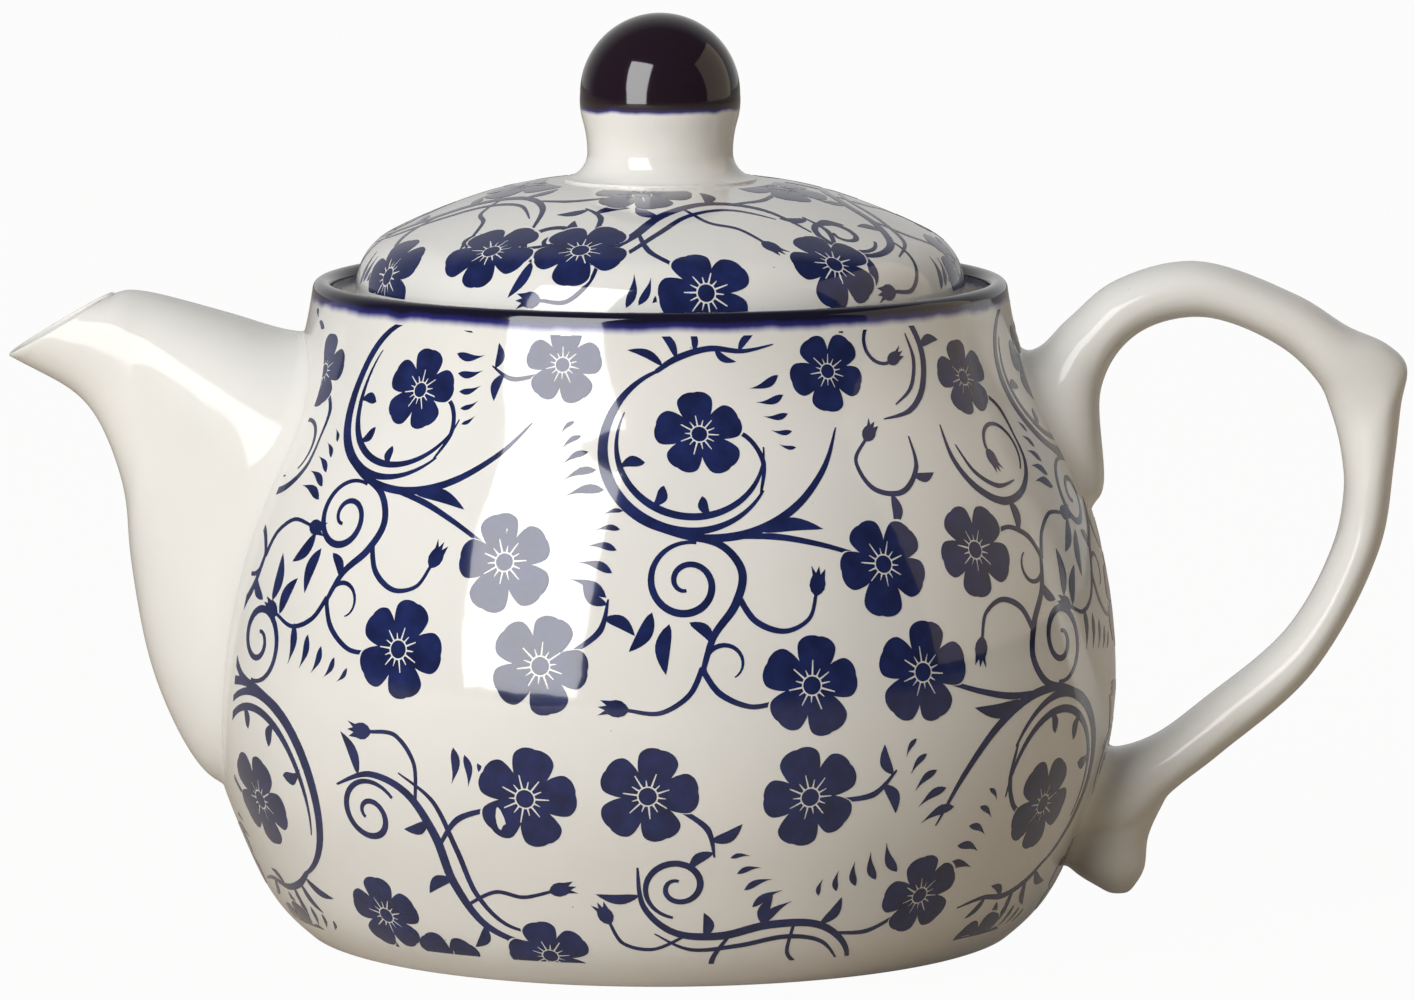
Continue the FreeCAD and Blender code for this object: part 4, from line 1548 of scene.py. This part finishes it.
class Layout:
    """Arranges motifs on a sheet: the main branches at listed places, the small ones where there is room."""

    CELL = 1.6
    MARGIN = 1
    NEARBY = 4
    INSIDE_SHARE = 0.72
    LEAST_SCORE = 0.05
    UNBOUNDED = 100000

    def __init__(self, wide: float, inside: Callable[[float, float], bool], wraps: bool, seed: int) -> None:
        """Lays out an empty sheet.

        Args:
            wide: The sheet's width.
            inside: Tells whether a place is in the sheet's area.
            wraps: Whether the sheet repeats sideways.
            seed: Starts the random draws.
        """
        self.wide, self.inside = wide, inside
        self.brush = Brush(chance=random.Random(seed))
        self.chance = random.Random(seed + 1)
        across = round(wide / self.CELL)
        self.columns = across if wraps else self.UNBOUNDED
        self.cell = wide / across
        self.taken: set[Cell] = set()
        self.near: set[Cell] = set()

    def cell_of(self, x: float, y: float) -> Cell:
        """The sheet's cell at a place."""
        return int(x // self.cell) % self.columns, int(y // self.cell)

    def grown(self, cells: set[Cell], reach: int) -> set[Cell]:
        """Widens a patch of cells.

        Args:
            cells: The patch.
            reach: By how many cells it grows all round.

        Returns:
            The wider patch.
        """
        steps = range(-reach, reach + 1)
        around = [(i, j) for i in steps for j in steps if i * i + j * j <= reach * reach]
        return {((x + i) % self.columns, y + j) for x, y in cells for i, j in around}

    def place(self, motif: Motif, x: float, y: float, turn: float, flip: bool, size: float) -> None:
        """Draws a motif and marks the room it takes.

        Args:
            motif: What to draw.
            x: Where, across the sheet.
            y: Where, up the sheet.
            turn: How far it is turned, in degrees.
            flip: Whether it is mirrored.
            size: How large.
        """
        before = len(self.brush.shapes)
        self.brush.at(x, y, turn, flip, size)
        self.brush.draw(motif)
        cells = set()
        for layer, outline in self.brush.shapes[before:]:
            if layer in (1, 3):
                middle = tuple(sum(values) / len(outline) for values in zip(*outline))
                cells |= {self.cell_of(px, py) for px, py in outline + [middle]}
        self.taken |= self.grown(cells, self.MARGIN)
        self.near |= self.grown(cells, self.NEARBY)

    def fill(self, motif: Motif, size: float, tries: int) -> bool:
        """Finds the snuggest free place for a motif and draws it there.

        Args:
            motif: What to draw.
            size: How large.
            tries: How many places are tried.

        Returns:
            Whether there was room.
        """
        trial = Brush(size=size)
        trial.draw(motif)
        marks = []
        for layer, outline in trial.shapes:
            if layer in (1, 3):
                marks += outline[::3] if layer == 3 else outline[:1]
        best, found = 0.0, None
        for _ in range(tries):
            x, y = self.chance.uniform(-self.wide, self.wide), self.chance.uniform(-self.wide, self.wide)
            turn, flip = self.chance.uniform(0, 360), self.chance.random() < 0.5
            if not self.inside(x, y):
                continue
            c, s = math.cos(math.radians(turn)), math.sin(math.radians(turn))
            side = -1.0 if flip else 1.0
            spots = [(x + c * side * px - s * py, y + s * side * px + c * py) for px, py in marks]
            cells = {self.cell_of(px, py) for px, py in spots}
            if cells & self.taken:
                continue
            if sum(1 for spot in spots if self.inside(*spot)) < self.INSIDE_SHARE * len(spots):
                continue
            score = sum(1 for cell in cells if cell in self.near) / len(cells) + self.LEAST_SCORE
            if score > best:
                best, found = score, (x, y, turn, flip)
        if found is not None:
            self.place(motif, *found, size)
        return found is not None

    def fill_all(self, plan: Plan, size: float) -> None:
        """Fills the free room of the sheet.

        Args:
            plan: Each motif in turn, how many are wanted and how many places are tried for each.
            size: How large they are drawn.
        """
        for motif, goal, tries in plan:
            for _ in range(goal):
                self.fill(motif, size, tries)


class Film:
    """A print as a thin sheet of ink that lies on a surface, under the shine of the same glaze."""

    LIFT = 0.05
    SINK = 0.05
    WELD = 400.0
    WINDOW = -1
    HOLE = -2
    LEAST_AREA = 1e-4

    def __init__(self, name: str, lay: Callable[[float, float], tuple[Vector, Vector]]) -> None:
        """Starts an empty print.

        Args:
            name: The print's name.
            lay: Gives the place in mm and the normal on the surface of a point of the flat sheet.
        """
        self.name, self.lay = name, lay
        self.tops: list[tuple[Vector, Vector]] = []
        self.faces: list[tuple[int, int, int]] = []
        self.known: dict[tuple[int, int, int], int] = {}

    def cut(self, shapes: list[Shape], window: list[list[Pair]], grid: float) -> list[list[Pair]]:
        """Joins overlapping shapes into one flat sheet of small triangles.

        Args:
            shapes: The layered shapes.
            window: The outer edge of the print, then any holes in it.
            grid: The largest spacing between points, so that the sheet can follow the surface.

        Returns:
            The inked triangles.
        """
        places: list[Pair] = []
        outlines: list[list[int]] = []
        layers: list[int] = []
        low = [min(point[k] for point in window[0]) for k in (0, 1)]
        high = [max(point[k] for point in window[0]) for k in (0, 1)]
        cuts = [(self.WINDOW, window[0])] + [(self.HOLE, hole) for hole in window[1:]]
        for layer, outline in cuts + shapes:
            xs, ys = zip(*outline)
            if max(xs) < low[0] or min(xs) > high[0] or max(ys) < low[1] or min(ys) > high[1]:
                continue
            for part in self.simple(outline):
                outlines.append(list(range(len(places), len(places) + len(part))))
                places += part
                layers.append(layer)
        rows = int((high[1] - low[1]) / grid)
        columns = int((high[0] - low[0]) / grid)
        for row in range(1, rows):
            for column in range(1, columns):
                shift = 0.5 if row % 2 else 0.0
                places.append((
                    low[0] + (column + shift) * (high[0] - low[0]) / columns,
                    low[1] + row * (high[1] - low[1]) / rows,
                ))
        made = delaunay_2d_cdt([Vector(place) for place in places], [], outlines, 0, 1e-4, True)
        corners, faces, sources = made[0], made[2], made[5]
        inked = []
        for face, source in zip(faces, sources):
            found = [layers[place] for place in source]
            covered = self.WINDOW in found and self.HOLE not in found
            if covered and max(found) > 0 and max(found) % 2 == 1:
                inked.append([tuple(corners[corner]) for corner in face])
        return inked

    def simple(self, outline: list[Pair]) -> list[list[Pair]]:
        """Turns an outline counterclockwise, and splits a crossed or hollow four-sided one into triangles.

        Args:
            outline: The outline's points.

        Returns:
            One or two outlines.
        """

        def area(part: list[Pair]) -> float:
            """Twice the signed area of an outline."""
            return sum(a[0] * b[1] - b[0] * a[1] for a, b in zip(part, part[1:] + part[:1]))

        parts = [outline]
        if len(outline) == 4:
            bends = [area([outline[k - 1], outline[k], outline[(k + 1) % 4]]) for k in range(4)]
            if min(bends) < 0.0 < max(bends):
                parts = [outline[:3], [outline[0], outline[2], outline[3]]]
        turned = [part if area(part) > 0.0 else part[::-1] for part in parts]
        return [part for part in turned if area(part) > self.LEAST_AREA]

    def add(self, triangles: list[list[Pair]], clear: Callable[[Vector], float]) -> None:
        """Lays flat triangles on the surface and trims them along the edge of what covers it.

        Args:
            triangles: The flat triangles.
            clear: Positive where a place is free, negative where another piece or a hole takes it.
        """
        for triangle in triangles:
            spots = [self.lay(x, y) for x, y in triangle]
            room = [clear(spot) for spot, _ in spots]
            if max(room) <= 0.0:
                continue
            if min(room) <= 0.0:
                spots = [self.lay(x, y) for x, y in self.trimmed(triangle, room)]
            keys = []
            for spot, normal in spots:
                key = tuple(round(part * self.WELD) for part in spot)
                if key not in self.known:
                    self.known[key] = len(self.tops)
                    self.tops.append((spot, normal))
                keys.append(self.known[key])
            for second, third in zip(keys[1:], keys[2:]):
                if len({keys[0], second, third}) == 3:
                    self.faces.append((keys[0], second, third))

    def trimmed(self, triangle: list[Pair], room: list[float]) -> list[Pair]:
        """Trims a flat triangle to where there is room.

        Args:
            triangle: Its corners.
            room: The room at each corner, negative where there is none.

        Returns:
            The corners of the part that stays.
        """
        kept = []
        for here, there, a, b in zip(triangle, triangle[1:] + triangle[:1], room, room[1:] + room[:1]):
            if a > 0.0:
                kept.append(here)
            if (a > 0.0) != (b > 0.0):
                kept.append(tuple(p + (q - p) * a / (a - b) for p, q in zip(here, there)))
        return kept

    def build(self) -> bpy.types.Object:
        """Makes the closed sheet: its top, its underside just inside the glaze, and its thin edge.

        Returns:
            The print.
        """
        count = len(self.tops)
        points = [(spot + normal * self.LIFT) * MM for spot, normal in self.tops]
        points += [(spot - normal * self.SINK) * MM for spot, normal in self.tops]
        faces: list[tuple[int, ...]] = []
        edges: list[tuple[int, int]] = []
        for face in self.faces:
            a, b, c = (self.tops[corner] for corner in face)
            if (b[0] - a[0]).cross(c[0] - a[0]).dot(a[1]) < 0.0:
                face = (face[0], face[2], face[1])
            faces.append(face)
            faces.append((face[0] + count, face[2] + count, face[1] + count))
            edges += zip(face, face[1:] + face[:1])
        known = dict.fromkeys(edges)
        for here, there in known:
            if (there, here) not in known:
                faces.append((there, here, here + count, there + count))
        mesh = bpy.data.meshes.new(self.name)
        mesh.from_pydata(points, [], faces)
        mesh.validate()
        mesh.shade_smooth()
        mesh.normals_split_custom_set_from_vertices([normal for _, normal in self.tops] * 2)
        piece = bpy.data.objects.new(self.name, mesh)
        bpy.context.collection.objects.link(piece)
        return piece


@dataclass
class PotPrint:
    """The floral print round the pot: one sheet, repeated three times."""

    repeats: int = 3
    scale_radius: float = 70.0
    low: float = 4.6
    high: float = 104.9
    size: float = 0.88
    phase: float = -0.35
    grid: float = 2.0
    seed: int = 5
    # Flowers that the lower edge of the sheet cuts through.
    cut_flowers: tuple[Pair, ...] = ((5.5, 1.5), (132.5, -2.5), (90.8, -2.0))
    cut_turn: float = 3.0
    # Half width, middle height and half height of the bare patch under each root.
    spout_root: Triple = (31.5, 62.0, 44.0)
    spout_fullness: float = 2.8
    handle_roots: tuple[Triple, ...] = ((14.6, 83.5, 15.0), (13.6, 20.0, 12.0))
    handle_fullness: float = 2.2
    # Place on the sheet, turn and flip of each main branch.
    branches: tuple[tuple[float, float, float, bool], ...] = (
        (30.0, 86.0, 4.0, False), (97.0, 27.0, 184.0, False), (121.0, 93.0, -8.0, False),
    )
    plan: Plan = (
        (Motif.SPRIG, 4, 2400), (Motif.LOOP, 5, 2400), (Motif.POSY, 6, 2000), (Motif.TENDRIL, 8, 1600),
        (Motif.WISP, 5, 800), (Motif.LOOP, 1, 3000), (Motif.POSY, 3, 3000), (Motif.TENDRIL, 6, 2000),
        (Motif.WISP, 5, 800),
    )

    def build(self, skin: Meridian) -> bpy.types.Object:
        """Draws the sheet, cuts it and lays it on the pot.

        Args:
            skin: The pot's outside.

        Returns:
            The print.
        """
        heights = [point[1] for point in skin.points]
        bottom = self.measure(skin, heights, self.low)
        tall = (self.measure(skin, heights, self.high) - bottom) * self.scale_radius
        wide = TURN * self.scale_radius / self.repeats
        sheet = Layout(wide, lambda x, y: 0.0 <= y <= tall, True, self.seed)
        for x, y, turn, flip in self.branches:
            sheet.place(Motif.SPRAY, x, y, turn, flip, self.size)
        sheet.fill_all(self.plan, self.size)
        for x, y in self.cut_flowers:
            sheet.place(Motif.BLOOM, x, y, self.cut_turn * x, False, self.size)
        shapes = [
            (layer, [(x + shift * wide, y) for x, y in outline])
            for shift in (-1, 0, 1, 2) for layer, outline in sheet.brush.shapes
        ]

        def lay(x: float, y: float) -> tuple[Vector, Vector]:
            """Finds a point of the sheet on the pot.

            Args:
                x: How far round the sheet it is.
                y: How far up.

            Returns:
                Its place and the normal there.
            """
            r, z, nr, nz = skin.at(skin.turned, bottom + y / self.scale_radius)
            turn = x / self.scale_radius + self.phase
            c, s = math.cos(turn), math.sin(turn)
            return Vector((r * s, -r * c, z)), Vector((nr * s, -nr * c, nz))

        film = Film("pot_print", lay)
        edge = [(0.0, 0.0), (wide, 0.0), (wide, tall), (0.0, tall)]
        triangles = film.cut(shapes, [edge], self.grid)
        for place in range(self.repeats):
            film.add([[(x + place * wide, y) for x, y in triangle] for triangle in triangles], self.clear)
        return film.build()

    def measure(self, skin: Meridian, heights: list[float], height: float) -> float:
        """Finds a height in the outline's own measure of turned length.

        Args:
            skin: The pot's outside.
            heights: The heights of its points.
            height: The height to find.

        Returns:
            The measure there.
        """
        place = bisect.bisect_left(heights, height)
        low, high = heights[place - 1], heights[place]
        share = (height - low) / (high - low)
        return skin.turned[place - 1] + (skin.turned[place] - skin.turned[place - 1]) * share

    def clear(self, spot: Vector) -> float:
        """Tells how free of the spout and the handle a place is.

        Args:
            spot: The place on the pot.

        Returns:
            A positive number outside their roots, a negative one under them.
        """
        roots, full = self.handle_roots, self.handle_fullness
        if spot.x < 0.0:
            roots, full = (self.spout_root,), self.spout_fullness
        return min(
            abs(spot.y / wide) ** full + abs((spot.z - middle) / tall) ** full - 1.0
            for wide, middle, tall in roots
        )


@dataclass
class LidPrint:
    """The floral print on the lid's dome."""

    inner: float = 19.0
    edge: float = 0.8
    size: float = 0.95
    grid: float = 1.05
    seed: int = 11
    ring_steps: int = 120
    vent_place: float = 23.0
    vent_clear: float = 2.6
    # Angle of each sprig round the crown, then the distance from it and the lean of all of them.
    sprigs: tuple[float, ...] = (272.0, 344.0, 56.0, 128.0, 200.0)
    sprig_place: Pair = (38.0, -84.0)
    # Angle round the crown, distance from it and lean of each posy.
    posies: tuple[Triple, ...] = (
        (236.0, 44.0, -100.0), (308.0, 46.0, -60.0), (20.0, 45.0, -90.0), (92.0, 46.0, -75.0),
        (164.0, 45.0, -95.0), (252.0, 41.0, -30.0),
    )
    plan: Plan = (
        (Motif.LOOP, 2, 2500), (Motif.POSY, 8, 2500), (Motif.TENDRIL, 8, 2000), (Motif.WISP, 4, 800),
    )

    def build(self, skin: Meridian) -> bpy.types.Object:
        """Draws the print flat, cuts it and lays it on the dome.

        Args:
            skin: The lid's outside, from the crown to the edge.

        Returns:
            The print.
        """
        outer = skin.length[-1] - self.edge
        sheet = Layout(2.0 * outer, lambda x, y: self.inner < math.hypot(x, y) < outer, False, self.seed)
        branches = [(Motif.SPRIG, angle, *self.sprig_place) for angle in self.sprigs]
        branches += [(Motif.POSY, *posy) for posy in self.posies]
        for motif, angle, reach, lean in branches:
            turn = math.radians(angle)
            x, y = reach * math.cos(turn), reach * math.sin(turn)
            sheet.place(motif, x, y, angle + lean, False, self.size)
        sheet.fill_all(self.plan, self.size)

        def lay(x: float, y: float) -> tuple[Vector, Vector]:
            """Finds a point of the sheet on the dome.

            Args:
                x: How far right of the crown it is.
                y: How far behind the crown.

            Returns:
                Its place and the normal there.
            """
            reach = math.hypot(x, y)
            r, z, nr, nz = skin.at(skin.length, reach)
            c, s = x / reach, y / reach
            return Vector((r * c, r * s, z)), Vector((-nr * c, -nr * s, -nz))

        ring = [TURN * place / self.ring_steps for place in range(self.ring_steps)]
        window = []
        for reach in (outer, self.inner):
            window.append([(reach * math.cos(a), reach * math.sin(a)) for a in ring])
        film = Film("lid_print", lay)
        triangles = film.cut(sheet.brush.shapes, window, self.grid)
        film.add(triangles, lambda spot: math.hypot(spot.x, spot.y - self.vent_place) - self.vent_clear)
        return film.build()


@dataclass(frozen=True)
class Softbox:
    """A rectangular soft light that faces the pot.

    Its size and distance are in metres, its place in degrees to the right of the camera's side and above.
    """

    name: str
    watts: float
    size: Pair
    distance: float
    azimuth: float
    rise: float
    colour: str = "#FFFFFF"
    mirrored: bool = True

    def build(self, aim: Vector) -> None:
        """Adds the light.

        Args:
            aim: The point that it faces.
        """
        data = bpy.data.lights.new(self.name, "AREA")
        data.shape = "RECTANGLE"
        data.size, data.size_y = self.size
        data.energy = self.watts
        data.color = linear(self.colour)[:3]
        light = bpy.data.objects.new(self.name, data)
        turn, lift = math.radians(self.azimuth), math.radians(self.rise)
        level = math.cos(lift)
        way = Vector((math.sin(turn) * level, -math.cos(turn) * level, math.sin(lift))) * self.distance
        light.location = aim + way
        light.rotation_euler = (-way).to_track_quat("-Z", "Y").to_euler()
        light.visible_glossy = self.mirrored
        bpy.context.collection.objects.link(light)


@dataclass
class Studio:
    """Plain pale floor, soft window-like lights and the camera of the photograph."""

    camera_place: Triple = (0.00775, -1.39241, 0.24751)
    camera_tilt: float = 82.79
    lens: float = 214.85
    sensor: float = 36.0
    farthest: float = 20.0
    aim: Triple = (0.0, 0.0, 0.06)
    lights: tuple[Softbox, ...] = (
        Softbox("window_left", 31.5, (1.0, 1.55), 1.75, -34.0, 24.0),
        Softbox("board_right", 3.0, (1.5, 1.2), 1.5, 97.0, 23.0, "#FFE9CC"),
        Softbox("ceiling", 8.0, (2.6, 2.6), 2.2, -100.0, 82.0, mirrored=False),
    )
    # Matt paper: a warm grey that lights the pot from below, and near white to the camera.
    paper: str = "#AFA28F"
    floor_size: float = 12.0
    floor_gap_mm: float = 0.05
    floor_white: float = 0.965
    floor_mirrored: float = 0.1
    # The surround brightens towards the back: in the light that it gives, then as the glaze mirrors it.
    back_span: Pair = (-0.1, 0.6)
    back_light: Pair = (0.07, 0.4)
    mirrored_span: Pair = (0.35, 1.0)
    mirrored_light: Pair = (0.06, 0.5)

    def build(self) -> None:
        """Sets up camera, floor, lights and world."""
        bpy.context.scene.view_settings.view_transform = "Standard"
        self.add_camera()
        self.add_floor()
        for light in self.lights:
            light.build(Vector(self.aim))
        self.add_world()

    def add_camera(self) -> None:
        """Places the camera at the photograph's viewpoint."""
        data = bpy.data.cameras.new("photo_camera")
        data.lens = self.lens
        data.sensor_width = self.sensor
        data.clip_end = self.farthest
        camera = bpy.data.objects.new("photo_camera", data)
        camera.location = self.camera_place
        camera.rotation_euler = (math.radians(self.camera_tilt), 0.0, 0.0)
        bpy.context.collection.objects.link(camera)
        bpy.context.scene.camera = camera

    def add_floor(self) -> None:
        """Lays a large pale floor under the pot, white to the camera apart from the shadow."""
        select()
        bpy.ops.mesh.primitive_plane_add(size=self.floor_size, location=(0.0, 0.0, -self.floor_gap_mm * MM))
        floor = bpy.context.object
        floor.name = "floor"
        material, tree = new_material("seamless_paper")
        paper = add_node(tree, "ShaderNodeBsdfDiffuse", Color=linear(self.paper))
        bright = add_node(tree, "ShaderNodeEmission", Color=(1.0, 1.0, 1.0, 1.0), Strength=1.0)
        camera, mirrored = rays_seen(tree)
        dimmed = add_node(
            tree, "ShaderNodeMath", {"operation": "MULTIPLY"}, i0=mirrored, i1=self.floor_mirrored,
        )
        shown = add_node(tree, "ShaderNodeMath", {"operation": "MAXIMUM"}, i0=camera, i1=dimmed.outputs[0])
        share = add_node(
            tree, "ShaderNodeMath", {"operation": "MULTIPLY"}, i0=shown.outputs[0], i1=self.floor_white,
        )
        mixed = add_node(
            tree, "ShaderNodeMixShader", i0=share.outputs[0], i1=paper.outputs[0], i2=bright.outputs[0],
        )
        add_node(tree, "ShaderNodeOutputMaterial", Surface=mixed.outputs[0])
        floor.data.materials.append(material)

    def add_world(self) -> None:
        """A white surround for the camera, a dimmed one for reflections and a grey one for the light."""
        world = bpy.data.worlds.new("studio")
        bpy.context.scene.world = world
        world.use_nodes = True
        tree = world.node_tree
        tree.nodes.clear()
        camera, mirrored = rays_seen(tree)
        coords = add_node(tree, "ShaderNodeTexCoord").outputs["Generated"]
        way = add_node(tree, "ShaderNodeSeparateXYZ", Vector=coords).outputs["Y"]
        levels = []
        for span, light in (
            (self.back_span, self.back_light), (self.mirrored_span, self.mirrored_light),
        ):
            level = add_node(
                tree, "ShaderNodeMapRange", Value=way,
                From_Min=span[0], From_Max=span[1], To_Min=light[0], To_Max=light[1],
            )
            levels.append(level.outputs["Result"])
        chosen = add_node(
            tree, "ShaderNodeMix", {"data_type": "FLOAT"}, i0=mirrored, i2=levels[0], i3=levels[1],
        )
        white = add_node(tree, "ShaderNodeMath", {"operation": "MAXIMUM"}, i0=camera, i1=chosen.outputs[0])
        surround = add_node(
            tree, "ShaderNodeBackground", Color=(1.0, 1.0, 1.0, 1.0), Strength=white.outputs[0],
        )
        add_node(tree, "ShaderNodeOutputWorld", Surface=surround.outputs[0])


def main() -> None:
    """Builds every piece in order and reports it."""
    logging.basicConfig(level=logging.INFO, format="%(name)s %(message)s")
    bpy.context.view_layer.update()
    porcelain = GlazedPorcelain()
    plain = porcelain.make("glazed_porcelain_plain", Cobalt.NONE)
    rimmed = porcelain.make("glazed_porcelain_rim", Cobalt.RIM)
    capped = porcelain.make("glazed_porcelain_cap", Cobalt.CAP)
    soft_glaze = ClearGlaze(sheen=0.2, gloss=(0.3, 0.13))
    soft = GlazedPorcelain(glaze=soft_glaze).make("glazed_porcelain_soft", Cobalt.NONE)
    pot, lid, knob, spout, handle = PotBody(), Lid(), LidKnob(), Spout(), Handle()
    skin = pot.skin()
    dress(pot.build(), rimmed, "pot", "pot_body")
    dress(spout.build(skin), soft, "pot", "spout")
    dress(handle.build(skin), soft, "pot", "handle")
    dress(lid.build(), plain, "cover", "lid")
    dress(knob.build(), capped, "cover", "lid_knob")
    ink = CobaltPrint().make("underglaze_cobalt")
    dress(PotPrint().build(skin), ink, "pot")
    dress(LidPrint().build(lid.skin()), ink, "cover")
    Studio().build()


if __name__ == "__main__":
    main()
